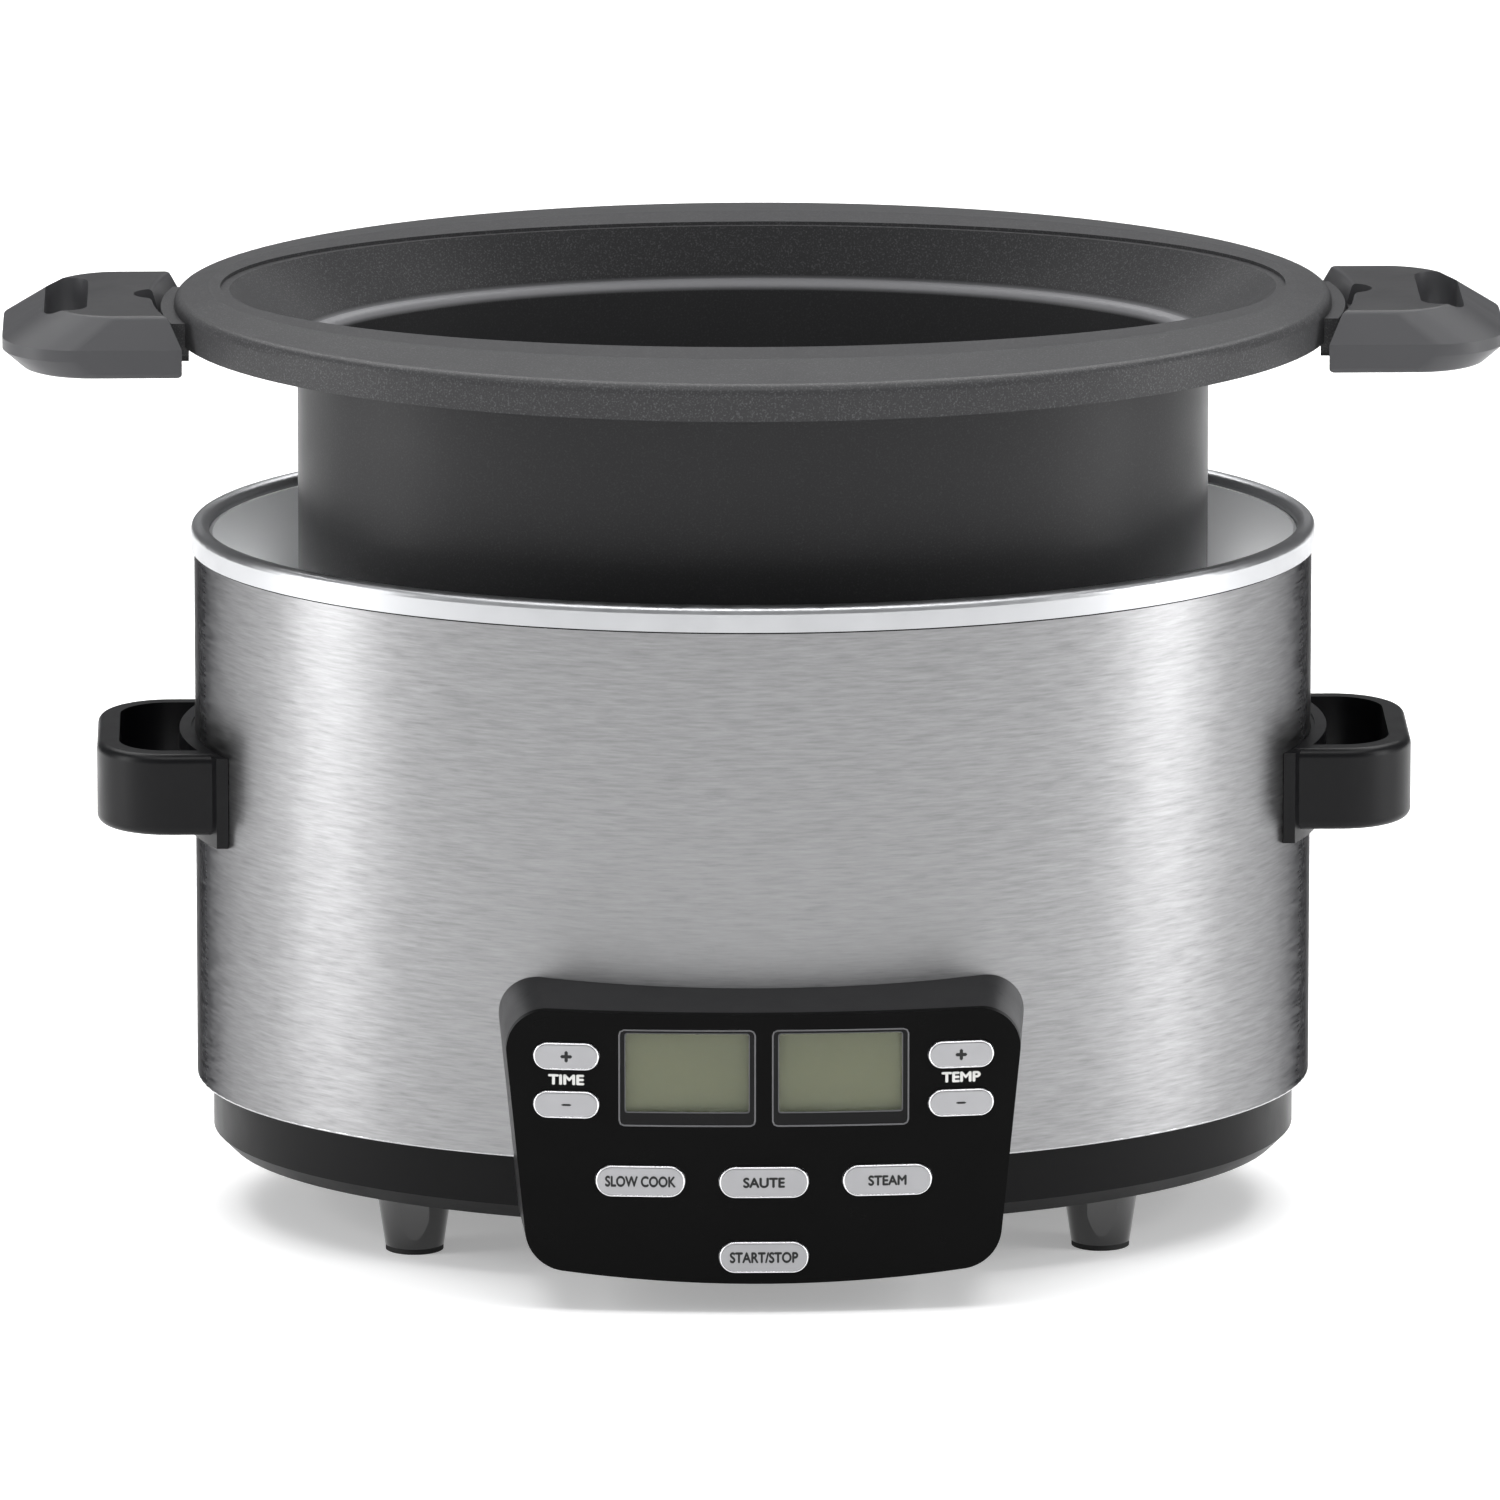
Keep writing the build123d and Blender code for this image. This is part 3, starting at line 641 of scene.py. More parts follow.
# Plated bead, its near white a painted glint round each button.
RIM_PAINTED_GLINT = SatinMetal("plated_abs_painted_glint", "#F0F0F2", 0.2, 1.0, 5.0, 0.03)
# Moulded rubber: dull, with a coarse skin.
BLACK_RUBBER = MouldedPlastic("black_rubber", "#141414", 0.75, 0.0, 0.5, 0.06)
# Dull gasket: a thin dark line under the ring.
SEAL_RUBBER = MouldedPlastic("silicone_seal", "#0A0A0A", 0.6)
# Polished window: clear, with a faint smear.
ACRYLIC = ClearAcrylic("clear_acrylic", "#8C9482", 0.04)
# Unlit liquid crystal: an even olive grey.
CRYSTAL = MouldedPlastic("liquid_crystal_glass", "#5E5C3A", 0.35, 0.0, 3.0, 0.0)
# Green solder mask over glass cloth and copper.
LAMINATE = CircuitLaminate("glass_epoxy_laminate", "#0E3B20", 0.3)
# Small moulded electrical parts, each in its trade's usual colour.
SWITCH_PLASTIC = MouldedPlastic("black_nylon", "#18181A", 0.5)
RELAY_PLASTIC = MouldedPlastic("blue_polyester", "#16305E", 0.3)
TERMINAL_PLASTIC = MouldedPlastic("natural_nylon", "#CFCBBE", 0.5)
# Dipped steel laminations: brown with a dull gloss.
CORE_VARNISH = MouldedPlastic("varnished_lamination", "#2A2521", 0.4)
# Shrunk sleeve: smooth, dark and shiny.
CAN_SLEEVE = MouldedPlastic("sleeved_capacitor", "#14151F", 0.25)
# Pressed and fired: chalky cream.
CERAMIC = MouldedPlastic("steatite_ceramic", "#D8D2C4", 0.6)
# Screen-printed inks: flat, even and a hair proud of the surface.
WHITE_INK = MouldedPlastic("white_screen_ink", "#D9D9D6", 0.5, 0.0, 0.3, 0.004)
DARK_INK = MouldedPlastic("dark_screen_ink", "#0B0B0C", 0.5, 0.0, 0.3, 0.004)


def dress(finish: Finish, *names: str) -> None:
    """Gives CAD nodes a finish, through their material slots.

    Args:
        finish: the finish to give.
        names: the CAD nodes.
    """
    for name in names:
        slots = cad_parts[name].material_slots
        for slot in slots:
            slot.material = finish.material()
        LOG.info("dressed %s in %s", name, finish.name)


def new_piece(name: str, mesh: bpy.types.Mesh, finish: Finish, body: str) -> None:
    """Adds a finished mesh to the scene and lets it ride on a body.

    Args:
        name: the piece's name.
        mesh: its mesh, already in place in the row frame.
        finish: its finish.
        body: the CAD body it moves with.
    """
    mesh.materials.clear()
    mesh.materials.append(finish.material())
    piece = bpy.data.objects.new(name, mesh)
    bpy.context.scene.collection.objects.link(piece)
    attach(piece, body)
    LOG.info("made %s on %s", name, body)


def baked(source: bpy.types.Object) -> bpy.types.Mesh:
    """Turns an object's evaluated shape into a plain mesh and removes the object.

    Args:
        source: the object with its modifiers or its text.

    Returns:
        The plain mesh.
    """
    graph = bpy.context.evaluated_depsgraph_get()
    graph.update()
    mesh = bpy.data.meshes.new_from_object(source.evaluated_get(graph))
    bpy.data.objects.remove(source)
    return mesh


class Recipe:
    """A Geometry Nodes tree with named inputs, run once for each piece it makes."""

    def __init__(self, name: str, sockets: dict[str, str]) -> None:
        """Starts the tree.

        Args:
            name: the tree's name.
            sockets: input name to socket type.
        """
        self.tree = bpy.data.node_groups.new(name, "GeometryNodeTree")
        for label, kind in sockets.items():
            self.tree.interface.new_socket(label, in_out="INPUT", socket_type=kind)
        self.tree.interface.new_socket(
            "Geometry", in_out="OUTPUT", socket_type="NodeSocketGeometry"
        )
        self.start = put(self.tree, "NodeGroupInput")

    def value(self, label: str) -> Any:
        """Returns the socket of a named input."""
        return self.start.outputs[label]

    def close(self, shape: Any) -> None:
        """Ends the tree: instances are realised, shaded smooth and given the material.

        Args:
            shape: the geometry socket to finish.
        """
        real = put(self.tree, "GeometryNodeRealizeInstances", {0: shape})
        smooth = put(self.tree, "GeometryNodeSetShadeSmooth", {0: real.outputs[0]})
        skin = put(
            self.tree,
            "GeometryNodeSetMaterial",
            {0: smooth.outputs[0], "Material": self.value("Material")},
        )
        put(self.tree, "NodeGroupOutput", {0: skin.outputs[0]})

    def run(self, values: dict[str, Any]) -> bpy.types.Mesh:
        """Makes a mesh from the tree.

        Args:
            values: input name to value.

        Returns:
            The plain mesh.
        """
        holder = bpy.data.objects.new("holder", bpy.data.meshes.new("holder"))
        bpy.context.scene.collection.objects.link(holder)
        modifier = holder.modifiers.new("recipe", "NODES")
        modifier.node_group = self.tree
        for item in self.tree.interface.items_tree:
            if item.in_out == "INPUT":
                modifier[item.identifier] = values[item.name]
        return baked(holder)


def oval_bead() -> Recipe:
    """Builds the recipe of a round bead that follows a level oval."""
    recipe = Recipe(
        "oval_bead",
        {
            "Half length": "NodeSocketFloat",
            "Half depth": "NodeSocketFloat",
            "Centre": "NodeSocketVector",
            "Bead radius": "NodeSocketFloat",
            "Material": "NodeSocketMaterial",
        },
    )
    tree = recipe.tree
    circle = put(tree, "GeometryNodeCurvePrimitiveCircle", {"Resolution": 288, "Radius": 1.0})
    stretch = put(
        tree,
        "ShaderNodeCombineXYZ",
        {"X": recipe.value("Half length"), "Y": recipe.value("Half depth"), "Z": 1.0},
    )
    oval = put(
        tree,
        "GeometryNodeTransform",
        {
            "Geometry": circle.outputs["Curve"],
            "Translation": recipe.value("Centre"),
            "Scale": stretch.outputs["Vector"],
        },
    )
    profile = put(
        tree,
        "GeometryNodeCurvePrimitiveCircle",
        {"Resolution": 12, "Radius": recipe.value("Bead radius")},
    )
    swept = put(
        tree,
        "GeometryNodeCurveToMesh",
        {"Curve": oval.outputs[0], "Profile Curve": profile.outputs["Curve"]},
    )
    recipe.close(swept.outputs[0])
    return recipe


def bent_loop() -> Recipe:
    """Builds the recipe of a bead round an upright rounded rectangle, bent in plan."""
    recipe = Recipe(
        "bent_loop",
        {
            "Width": "NodeSocketFloat",
            "Height": "NodeSocketFloat",
            "Corner": "NodeSocketFloat",
            "Middle": "NodeSocketVector",
            "Bend centre": "NodeSocketFloat",
            "Bend radius": "NodeSocketFloat",
            "Bead radius": "NodeSocketFloat",
            "Material": "NodeSocketMaterial",
        },
    )
    tree = recipe.tree
    flat = put(
        tree,
        "GeometryNodeCurvePrimitiveQuadrilateral",
        {"Width": recipe.value("Width"), "Height": recipe.value("Height")},
        mode="RECTANGLE",
    )
    rounded = put(
        tree,
        "GeometryNodeFilletCurve",
        {"Curve": flat.outputs["Curve"], "Count": 10, "Radius": recipe.value("Corner")},
        mode="POLY",
    )
    steps = put(tree, "GeometryNodeResampleCurve", {"Curve": rounded.outputs[0], "Count": 120})
    here = put(tree, "GeometryNodeInputPosition")
    flat_at = put(tree, "ShaderNodeSeparateXYZ", {"Vector": here.outputs["Position"]})
    middle = put(tree, "ShaderNodeSeparateXYZ", {"Vector": recipe.value("Middle")})
    across = put(
        tree, "ShaderNodeMath", {0: flat_at.outputs["X"], 1: middle.outputs["X"]}, operation="ADD"
    ).outputs[0]
    up = put(
        tree, "ShaderNodeMath", {0: flat_at.outputs["Y"], 1: middle.outputs["Z"]}, operation="ADD"
    ).outputs[0]
    squares = [
        put(tree, "ShaderNodeMath", {0: value, 1: 2.0}, operation="POWER").outputs[0]
        for value in (recipe.value("Bend radius"), across)
    ]
    rest = put(tree, "ShaderNodeMath", {0: squares[0], 1: squares[1]}, operation="SUBTRACT")
    reach = put(tree, "ShaderNodeMath", {0: rest.outputs[0]}, operation="SQRT")
    back = put(
        tree,
        "ShaderNodeMath",
        {0: recipe.value("Bend centre"), 1: reach.outputs[0]},
        operation="SUBTRACT",
    ).outputs[0]
    place = put(tree, "ShaderNodeCombineXYZ", {"X": across, "Y": back, "Z": up})
    bent = put(
        tree,
        "GeometryNodeSetPosition",
        {"Geometry": steps.outputs[0], "Position": place.outputs["Vector"]},
    )
    profile = put(
        tree,
        "GeometryNodeCurvePrimitiveCircle",
        {"Resolution": 8, "Radius": recipe.value("Bead radius")},
    )
    swept = put(
        tree,
        "GeometryNodeCurveToMesh",
        {"Curve": bent.outputs[0], "Profile Curve": profile.outputs["Curve"]},
    )
    recipe.close(swept.outputs[0])
    return recipe


def ring_row() -> Recipe:
    """Builds the recipe of a row of round rings along Y."""
    recipe = Recipe(
        "ring_row",
        {
            "Count": "NodeSocketInt",
            "First": "NodeSocketVector",
            "Spacing": "NodeSocketVector",
            "Ring radius": "NodeSocketFloat",
            "Rib radius": "NodeSocketFloat",
            "Material": "NodeSocketMaterial",
        },
    )
    tree = recipe.tree
    row = put(
        tree,
        "GeometryNodeMeshLine",
        {
            "Count": recipe.value("Count"),
            "Start Location": recipe.value("First"),
            "Offset": recipe.value("Spacing"),
        },
    )
    circle = put(
        tree,
        "GeometryNodeCurvePrimitiveCircle",
        {"Resolution": 48, "Radius": recipe.value("Ring radius")},
    )
    profile = put(
        tree,
        "GeometryNodeCurvePrimitiveCircle",
        {"Resolution": 10, "Radius": recipe.value("Rib radius")},
    )
    ring = put(
        tree,
        "GeometryNodeCurveToMesh",
        {"Curve": circle.outputs["Curve"], "Profile Curve": profile.outputs["Curve"]},
    )
    rings = put(
        tree,
        "GeometryNodeInstanceOnPoints",
        {
            "Points": row.outputs[0],
            "Instance": ring.outputs[0],
            "Rotation": (math.pi / 2, 0.0, 0.0),
        },
    )
    recipe.close(rings.outputs[0])
    return recipe


@dataclass
class HeatingBase:
    """The steel-clad base with its rim, well, handles and feet.

    Attributes:
        hem_mm: radius of the rolled hem at the jacket's lower edge.
        rib_mm: radius of one rib on the cord gland.
        ribs: number of ribs on the cord gland.
        rib_pitch_mm: spacing of the ribs.
        first_rib_mm: distance of the first rib from the gland's outer end.
    """

    hem_mm: float = 0.45
    rib_mm: float = 0.7
    ribs: int = 3
    rib_pitch_mm: float = 2.0
    first_rib_mm: float = 1.3

    def build(self) -> None:
        """Dresses the CAD nodes and adds the hem and the gland's ribs."""
        dress(STAINLESS_JACKET, "outer_shell")
        dress(RIM_METAL, "rim_ring")
        dress(SEAL_RUBBER, "rim_gasket")
        dress(WELL_ENAMEL, "heater_liner")
        dress(BASE_PLASTIC, "base_tray")
        dress(COVER_PLASTIC, "bottom_cover")
        dress(HANDLE_PLASTIC, "side_handle_left", "side_handle_right")
        for end in ("front", "rear"):
            for side in ("left", "right"):
                dress(FOOT_PLASTIC, f"foot_{end}_{side}")
        dress(BLACK_RUBBER, "foot_pads", "cord_gland")
        dress(ZINC_STEEL, "foot_screws", "foot_nuts", "handle_screws")
        dress(ZINC_STEEL, "handle_bracket_left", "handle_bracket_right")
        self.hem()
        self.gland_ribs()

    def hem(self) -> None:
        """Rolls the jacket's lower edge into a bead."""
        low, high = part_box("outer_shell")
        mesh = oval_bead().run(
            {
                "Half length": (high.x - low.x) / 2 - self.hem_mm * MM,
                "Half depth": (high.y - low.y) / 2 - self.hem_mm * MM,
                "Centre": (0.0, (low.y + high.y) / 2, low.z),
                "Bead radius": self.hem_mm * MM,
                "Material": STAINLESS_HEM.material(),
            }
        )
        new_piece("jacket_hem", mesh, STAINLESS_HEM, "base")

    def gland_ribs(self) -> None:
        """Adds the moulded ribs round the cord gland's collar."""
        low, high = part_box("cord_gland")
        mesh = ring_row().run(
            {
                "Count": self.ribs,
                "First": (0.0, high.y - self.first_rib_mm * MM, (low.z + high.z) / 2),
                "Spacing": (0.0, -self.rib_pitch_mm * MM, 0.0),
                "Ring radius": (high.z - low.z) / 2 - 0.2 * MM,
                "Rib radius": self.rib_mm * MM,
                "Material": BLACK_RUBBER.material(),
            }
        )
        new_piece("gland_ribs", mesh, BLACK_RUBBER, "base")


@dataclass
class HeaterWorks:
    """What is hidden under the pot: plate, element, sensor and power electronics.

    Attributes:
        finishes: CAD node to finish.
    """

    finishes: dict[str, Finish] = field(
        default_factory=lambda: {
            "heater_plate": CAST_METAL,
            "plate_supports": ZINC_STEEL,
            "heating_element": SHEATH,
            "thermal_sensor": CAST_METAL,
            "sensor_spring": ZINC_STEEL,
            "thermal_fuse": CERAMIC,
            "liner_legs": ZINC_STEEL,
            "heat_shield": ZINC_STEEL,
            "power_board": LAMINATE,
            "board_screws": ZINC_STEEL,
            "transformer": CORE_VARNISH,
            "relay": RELAY_PLASTIC,
            "capacitor": CAN_SLEEVE,
            "terminal_block": TERMINAL_PLASTIC,
        }
    )

    def build(self) -> None:
        """Dresses each hidden CAD node."""
        for name, finish in self.finishes.items():
            dress(finish, name)


def panel_body(node: str) -> str:
    """Returns the CAD body of a node on the panel: each button is a body of its own."""
    return node if node.startswith("button_") else "base"


@dataclass(frozen=True)
class Label:
    """A printed word.

    Attributes:
        text: what it says.
        node: the CAD node it is printed on.
        at_mm: place of its middle, across and up, from the middle of the node's front.
        size_mm: width and height of the whole word.
        ink: the ink it is printed in.
    """

    text: str
    node: str
    at_mm: tuple[float, float]
    size_mm: tuple[float, float]
    ink: Finish


@dataclass(frozen=True)
class Trim:
    """A thin bead round a node's outline.

    Attributes:
        name: what the bead is called.
        node: the CAD node it runs round.
        finish: the bead's finish.
        bead_mm: radius of the bead.
        corner_mm: radius of its corners, cut down to a full round where it is too large.
        inset_mm: how far it runs inside the node's outline.
        proud_mm: how far it stands in front of the panel's face.
    """

    name: str
    node: str
    finish: Finish
    bead_mm: float
    corner_mm: float
    inset_mm: float
    proud_mm: float


@dataclass
class ControlPanel:
    """The control panel on the front, with its displays, buttons and printed words.

    Attributes:
        ink_mm: thickness of the printed ink, thicker than life so that it shows.
        strike: distance between the strikes of a word that make it bold, in letter heights.
        face_radius_mm: plan curvature of the panel's face.
        labels: the printed words.
    """

    ink_mm: float = 0.06
    strike: float = 0.04
    face_radius_mm: float = 470.0
    labels: list[Label] = field(
        default_factory=lambda: [
            Label("TIME", "panel_face", (-56.4, 19.7), (10.3, 3.1), WHITE_INK),
            Label("TEMP", "panel_face", (56.4, 19.9), (11.2, 3.1), WHITE_INK),
            Label("+", "button_time_up", (0, 0), (3.3, 3.3), DARK_INK),
            Label("-", "button_time_down", (0, 0), (2.8, 0.6), DARK_INK),
            Label("+", "button_temp_up", (0, 0), (3.3, 3.3), DARK_INK),
            Label("-", "button_temp_down", (0, 0), (2.8, 0.6), DARK_INK),
            Label("SLOW COOK", "button_slow_cook", (0, 0), (20.2, 3.3), DARK_INK),
            Label("SAUTE", "button_saute", (0, 0), (12, 3.1), DARK_INK),
            Label("STEAM", "button_steam", (0, 0), (11, 3.1), DARK_INK),
            Label("START/STOP", "button_start_stop", (0, 0), (19.6, 3.3), DARK_INK),
        ]
    )

    def build(self) -> None:
        """Dresses the CAD nodes, trims the displays and buttons and prints the labels."""
        buttons = [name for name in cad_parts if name.startswith("button_")]
        dress(CASING_PLASTIC, "panel_casing")
        dress(FACE_PLASTIC, "panel_face")
        for side in ("left", "right"):
            dress(BEZEL_PLASTIC, f"display_bezel_{side}")
            dress(ACRYLIC, f"display_window_{side}")
            dress(CRYSTAL, f"display_module_{side}")
        dress(LAMINATE, "control_board")
        dress(ZINC_STEEL, "panel_screws")
        dress(SWITCH_PLASTIC, "tact_switches")
        dress(BUTTON_SILVER, *buttons)
        self.add_trim(buttons)
        for label in self.labels:
            self.print_label(label)

    def add_trim(self, buttons: list[str]) -> None:
        """Adds the polished lips of the displays and the raised rims of the buttons.

        Args:
            buttons: the buttons' CAD nodes.
        """
        recipe = bent_loop()
        # the lips' grey colour is a painted highlight on real beads
        for side in ("left", "right"):
            bezel, window = f"display_bezel_{side}", f"display_window_{side}"
            self.lay(recipe, Trim("lip", bezel, LIP_PAINTED_HIGHLIGHT, 0.28, 1.4, 0.0, -0.2))
            self.lay(recipe, Trim("lip", window, LIP_PAINTED_HIGHLIGHT, 0.25, 0.8, 0.0, -0.7))
        # the rims' near-white colour is a painted glint on real beads
        for node in buttons:
            self.lay(recipe, Trim("rim", node, RIM_PAINTED_GLINT, 0.25, 20.0, 1.2, 0.93))

    def lay(self, recipe: Recipe, trim: Trim) -> None:
        """Lays one bead round a node's outline, over the curved face.

        Args:
            recipe: the bent loop's recipe.
            trim: the bead to lay.
        """
        low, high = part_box(trim.node)
        middle = (low + high) / 2
        radius = self.face_radius_mm * MM
        height = high.z - low.z - 2 * trim.inset_mm * MM
        mesh = recipe.run(
            {
                "Width": high.x - low.x - 2 * trim.inset_mm * MM,
                "Height": height,
                "Corner": min(trim.corner_mm * MM, height * 0.499),
                "Middle": (middle.x, 0.0, middle.z),
                "Bend centre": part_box("panel_face")[0].y + radius,
                "Bend radius": radius + trim.proud_mm * MM,
                "Bead radius": trim.bead_mm * MM,
                "Material": trim.finish.material(),
            }
        )
        name = f"{trim.node}_{trim.name}"
        new_piece(name, mesh, trim.finish, panel_body(trim.node))

    def print_label(self, label: Label) -> None:
        """Prints one word, wrapped onto the curved front of its node.

        Args:
            label: what to print and where.
        """
        mesh = self.struck(self.lettering(label.text))
        points = [v.co.copy() for v in mesh.vertices]
        low = Vector(map(min, zip(*points)))
        high = Vector(map(max, zip(*points)))
        node_low, node_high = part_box(label.node)
        middle = (node_low + node_high) / 2
        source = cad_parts[label.node].data
        front = BVHTree.FromPolygons(
            [v.co.copy() for v in source.vertices], [tuple(p.vertices) for p in source.polygons]
        )
        start_y = node_low.y - 50 * MM  # well in front of the node
        for vertex, point in zip(mesh.vertices, points):
            share_x = (point.x - (low.x + high.x) / 2) / (high.x - low.x)
            share_z = (point.y - (low.y + high.y) / 2) / (high.y - low.y)
            x = middle.x + (label.at_mm[0] + share_x * label.size_mm[0]) * MM
            z = middle.z + (label.at_mm[1] + share_z * label.size_mm[1]) * MM
            hit = front.ray_cast(Vector((x, start_y, z)), Vector((0, 1, 0)))[0]
            # the back of the ink is sunk a little, and later strikes lie a hair over earlier ones
            lift_mm = self.ink_mm + 0.4 * (point.z - 0.5) if point.z > 0 else -0.02
            vertex.co = (x, hit.y - lift_mm * MM, z)
        mesh.update()
        word = label.text.replace(" ", "_").replace("/", "_").lower()
        word = {"+": "plus", "-": "minus"}.get(word, word)
        name = f"label_{word}_{label.node}"
        new_piece(name, mesh, label.ink, panel_body(label.node))

    @staticmethod
    def lettering(text: str) -> bpy.types.Mesh:
        """Cuts a word out of a thick sheet.

        Args:
            text: the word.

        Returns:
            Its mesh, one unit high and one unit thick, centred on the origin.
        """
        font = bpy.data.curves.new("word", "FONT")
        font.body = text
        font.align_x = "CENTER"
        font.align_y = "CENTER"
        font.extrude = 0.5
        font.resolution_u = 6
        holder = bpy.data.objects.new("word", font)
        bpy.context.scene.collection.objects.link(holder)
        return baked(holder)

    def struck(self, word: bpy.types.Mesh) -> bpy.types.Mesh:
        """Prints a thin word several times over itself, a hair apart, so that it comes out bold.

        Args:
            word: the word, one unit high.

        Returns:
            The bold word.
        """
        bold = bmesh.new()
        strikes = ((0, 0), (-1, 0), (1, 0), (0, -1), (0, 1))
        for turn, (across, up) in enumerate(strikes):
            start = len(bold.verts)
            bold.from_mesh(word)
            bold.verts.ensure_lookup_table()
            for vertex in bold.verts[start:]:
                layer = 0.004 * turn if vertex.co.z > 0 else 0.0
                vertex.co += Vector((across * self.strike, up * self.strike, layer))
        bold.to_mesh(word)
        bold.free()
        return word


@dataclass
class CookingPot:
    """The lift-out pot with its end grips.

    Attributes:
        coating: finish of the pot.
        grips: finish of both grips.
        screws: finish of the grips' screws.
    """

    coating: Finish = POT_COATING
    grips: Finish = GRIP_PLASTIC
    screws: Finish = ZINC_STEEL

    def build(self) -> None:
        """Dresses the pot, its grips and their screws."""
        dress(self.coating, "cooking_pot")
        dress(self.grips, "pot_grip_left", "pot_grip_right")
        dress(self.screws, "grip_screws")


@dataclass(frozen=True)
class Softbox:
    """One rectangular studio light.

    Attributes:
        name: the light's name.
        azimuth: degrees round from the front, positive to the right.
        elevation: degrees above the floor.
        distance: metres from the object's middle.
        size: width and height in metres.
        watts: power.
    """

    name: str
    azimuth: float
    elevation: float
    distance: float
    size: tuple[float, float]
    watts: float


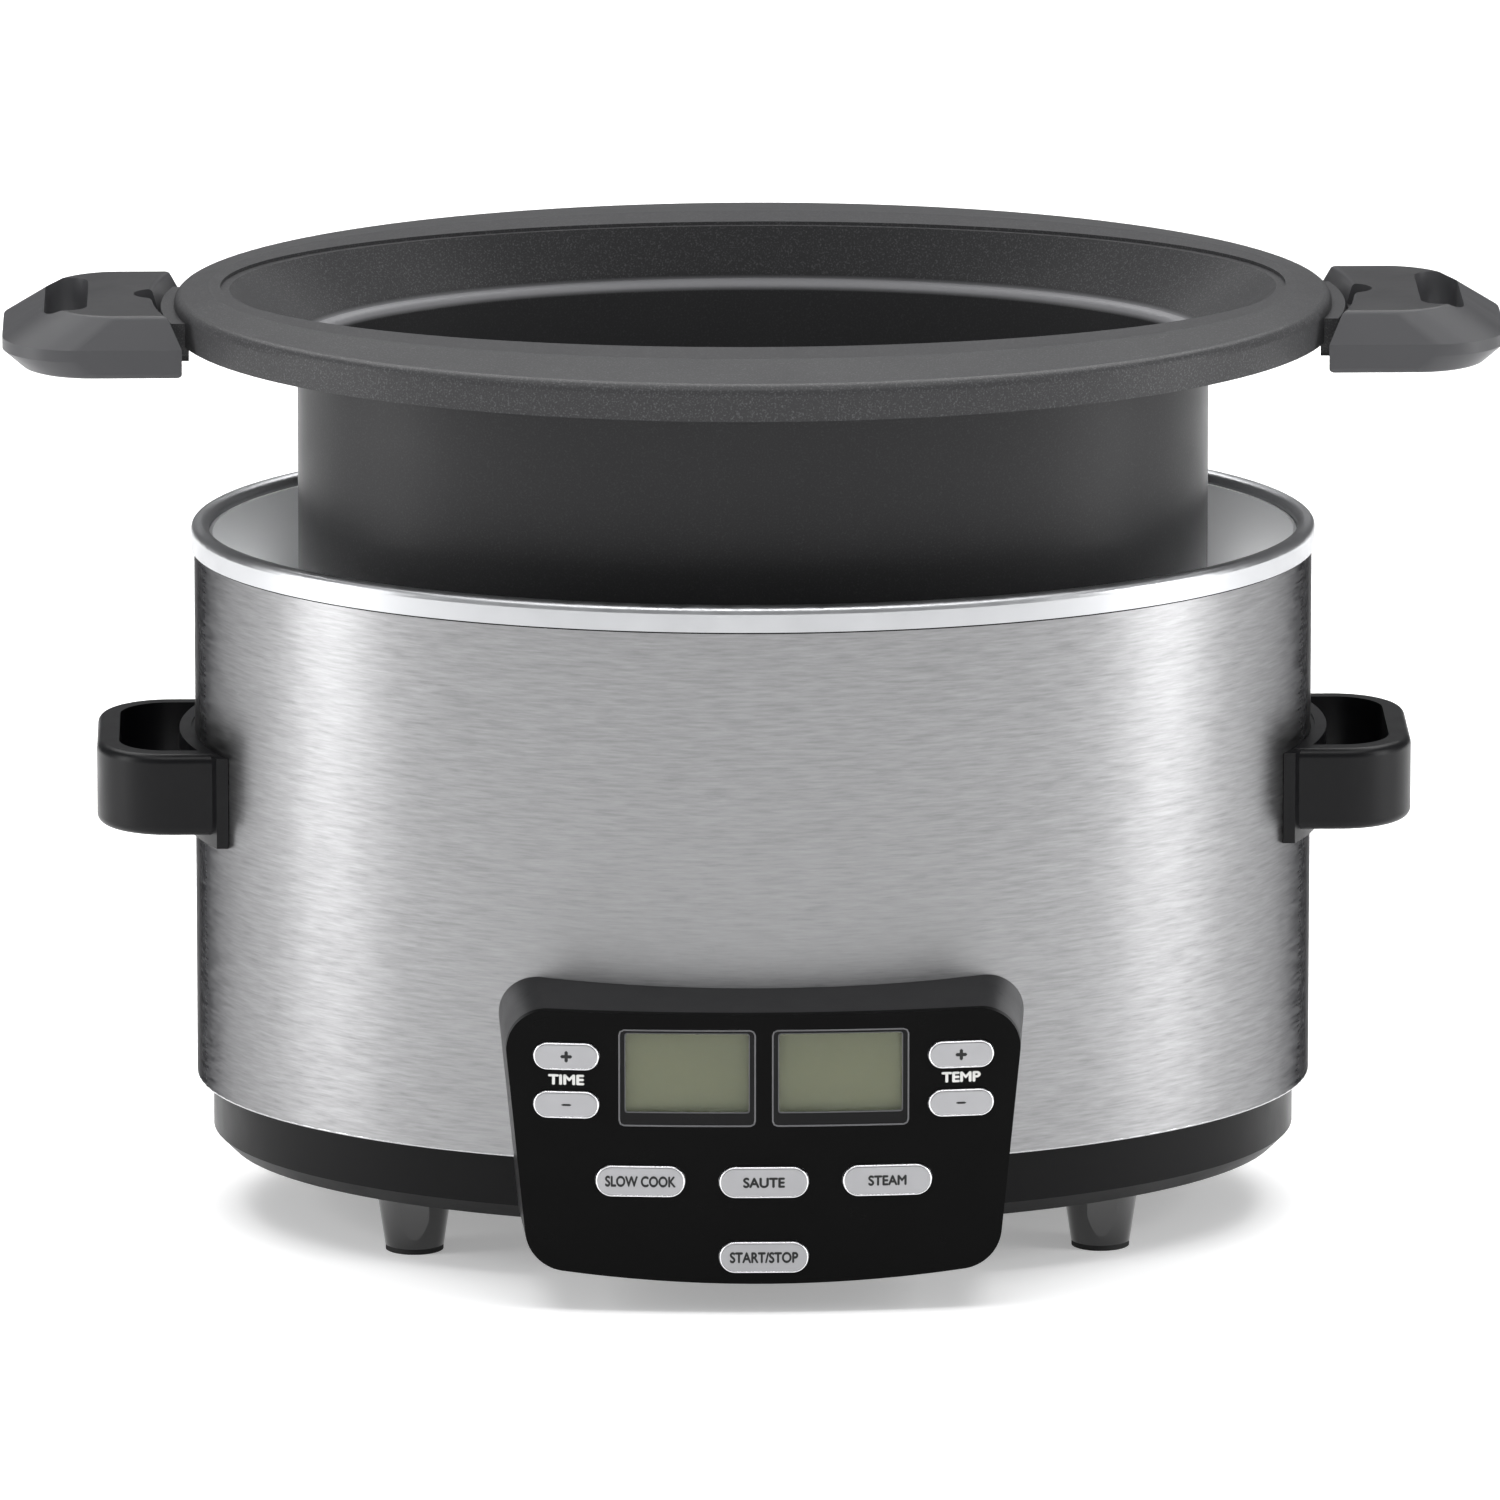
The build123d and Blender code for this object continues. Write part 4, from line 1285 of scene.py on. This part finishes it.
@dataclass
class Studio:
    """A white floor, soft light and the long-lens camera.

    Attributes:
        elevation: the camera's height above level, in degrees.
        azimuth: the camera's turn from straight ahead, in degrees.
        distance: metres from the camera to the object's middle.
        lens: focal length in millimetres.
        aim: the point the camera looks at, from the oval's middle at floor level.
        front_light: strength of the room's light from the front.
        back_light: strength of the room's light from behind.
        room: sRGB hex colour of the room's light.
        well_watts: power of each of the two small lamps in the well.
        well_lamp: width and depth of such a lamp, in metres.
        well_lamp_in_mm: its distance from the well's end.
        well_lamp_down_mm: its distance below the well's top.
        floor_radius: radius of the floor, in metres.
        floor_glow: light the translucent floor sheet gives from below, which softens shadows.
        softboxes: the lights.
    """

    elevation: float = 13.3
    azimuth: float = -1.3
    distance: float = 5.5
    lens: float = 452.8
    aim: tuple[float, float, float] = (-0.0009, 0.0, 0.1342)
    front_light: float = 0.43
    back_light: float = 0.22
    room: str = "#F2F3F5"
    well_watts: float = 0.03
    well_lamp: tuple[float, float] = (0.012, 0.09)
    well_lamp_in_mm: float = 14.0
    well_lamp_down_mm: float = 38.0
    floor_radius: float = 4.5
    floor_glow: float = 0.3
    softboxes: list[Softbox] = field(
        default_factory=lambda: [
            Softbox("left_softbox", -77, 10, 1.5, (0.5, 1.2), 12),
            Softbox("right_softbox", 73, 10, 1.5, (0.5, 1.2), 12),
            Softbox("top_softbox", 0, 86, 2.2, (3.0, 2.4), 44),
            Softbox("crease_softbox", 0, 62, 1.8, (1.6, 0.22), 7),
            Softbox("rear_softbox", 180, 58, 2.8, (3.4, 1.8), 80),
        ]
    )

    def build(self) -> None:
        """Makes the floor, the world, the lights and the camera."""
        self.floor()
        self.world()
        low, high = CAD_BOX
        middle = Vector((0, (low.y + high.y) / 2, (low.z + high.z) / 2))
        for softbox in self.softboxes:
            self.light(softbox, middle)
        for side in (-1, 1):
            self.well_light(side)
        self.camera()

    def floor(self) -> None:
        """Lays a large white floor disc under the object."""
        mesh = bpy.data.meshes.new("floor")
        turns = [math.radians(degrees) for degrees in range(0, 360, 5)]
        ring = [
            (self.floor_radius * math.cos(a), self.floor_radius * math.sin(a), 0.0) for a in turns
        ]
        mesh.from_pydata(ring, [], [tuple(range(len(ring)))])
        floor = bpy.data.objects.new("floor", mesh)
        bpy.context.scene.collection.objects.link(floor)
        paper = MouldedPlastic("white_paper_sweep", "#F4F4F4", 0.8, 0.0, 2.0, 0.0).material()
        shader = next(n for n in paper.node_tree.nodes if n.type == "BSDF_PRINCIPLED")
        shader.inputs["Emission Color"].default_value = linear("#FFFFFF")
        shader.inputs["Emission Strength"].default_value = self.floor_glow
        mesh.materials.append(paper)

    def world(self) -> None:
        """Fills the room with pale light, stronger in front than behind."""
        world = bpy.data.worlds.new("studio")
        bpy.context.scene.world = world
        world.use_nodes = True
        tree = world.node_tree
        towards = put(tree, "ShaderNodeTexCoord")
        parts = put(tree, "ShaderNodeSeparateXYZ", {"Vector": towards.outputs["Generated"]})
        strength = put(
            tree,
            "ShaderNodeMapRange",
            {
                "Value": parts.outputs["Y"],
                "From Min": -0.9,
                "From Max": 0.5,
                "To Min": self.front_light,
                "To Max": self.back_light,
            },
        )
        back = tree.nodes["Background"]
        back.inputs["Color"].default_value = linear(self.room)
        tree.links.new(strength.outputs["Result"], back.inputs["Strength"])
        bpy.context.scene.view_settings.view_transform = "Standard"

    def light(self, softbox: Softbox, middle: Vector) -> None:
        """Hangs one softbox, facing the object.

        Args:
            softbox: the light to hang.
            middle: the point it faces.
        """
        data = bpy.data.lights.new(softbox.name, "AREA")
        data.shape = "RECTANGLE"
        data.size, data.size_y = softbox.size
        data.energy = softbox.watts
        lamp = bpy.data.objects.new(softbox.name, data)
        bpy.context.scene.collection.objects.link(lamp)
        away = self.direction(softbox.azimuth, softbox.elevation)
        lamp.location = middle + away * softbox.distance
        lamp.rotation_euler = (-away).to_track_quat("-Z", "Y").to_euler()

    def well_light(self, side: int) -> None:
        """Stands a small lamp in one end of the well, facing up, to show its bright wall.

        Args:
            side: minus one for the left end, one for the right.
        """
        data = bpy.data.lights.new(f"well_lamp_{side}", "AREA")
        data.shape = "RECTANGLE"
        data.size, data.size_y = self.well_lamp
        data.energy = self.well_watts
        lamp = bpy.data.objects.new(data.name, data)
        bpy.context.scene.collection.objects.link(lamp)
        low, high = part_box("heater_liner")
        lamp.location = (
            side * (high.x - self.well_lamp_in_mm * MM),
            (low.y + high.y) / 2,
            high.z - self.well_lamp_down_mm * MM,
        )
        lamp.rotation_euler = (math.pi, 0.0, 0.0)
        lamp.visible_camera = False

    def camera(self) -> None:
        """Places the camera far back, with a long lens."""
        data = bpy.data.cameras.new("camera")
        data.sensor_width = 36.0
        data.lens = self.lens
        data.clip_end = 60.0
        camera = bpy.data.objects.new("camera", data)
        bpy.context.scene.collection.objects.link(camera)
        low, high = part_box("outer_shell")
        target = Vector(self.aim) + Vector((0, (low.y + high.y) / 2, 0))
        away = self.direction(self.azimuth, self.elevation)
        camera.location = target + away * self.distance
        camera.rotation_euler = (-away).to_track_quat("-Z", "Y").to_euler()
        bpy.context.scene.camera = camera

    @staticmethod
    def direction(azimuth: float, elevation: float) -> Vector:
        """Unit vector from the object towards a place, in degrees round and above.

        Args:
            azimuth: degrees round from the front, positive to the right.
            elevation: degrees above the floor.

        Returns:
            The direction.
        """
        a, e = math.radians(azimuth), math.radians(elevation)
        return Vector((math.sin(a) * math.cos(e), -math.cos(a) * math.cos(e), math.sin(e)))


def main() -> None:
    """Builds every sub-assembly in order."""
    logging.basicConfig(level=logging.INFO, format="%(name)s: %(message)s")
    for part in (HeatingBase(), HeaterWorks(), ControlPanel(), CookingPot(), Studio()):
        LOG.info("building %s", type(part).__name__)
        part.build()


if __name__ == "__main__":
    main()
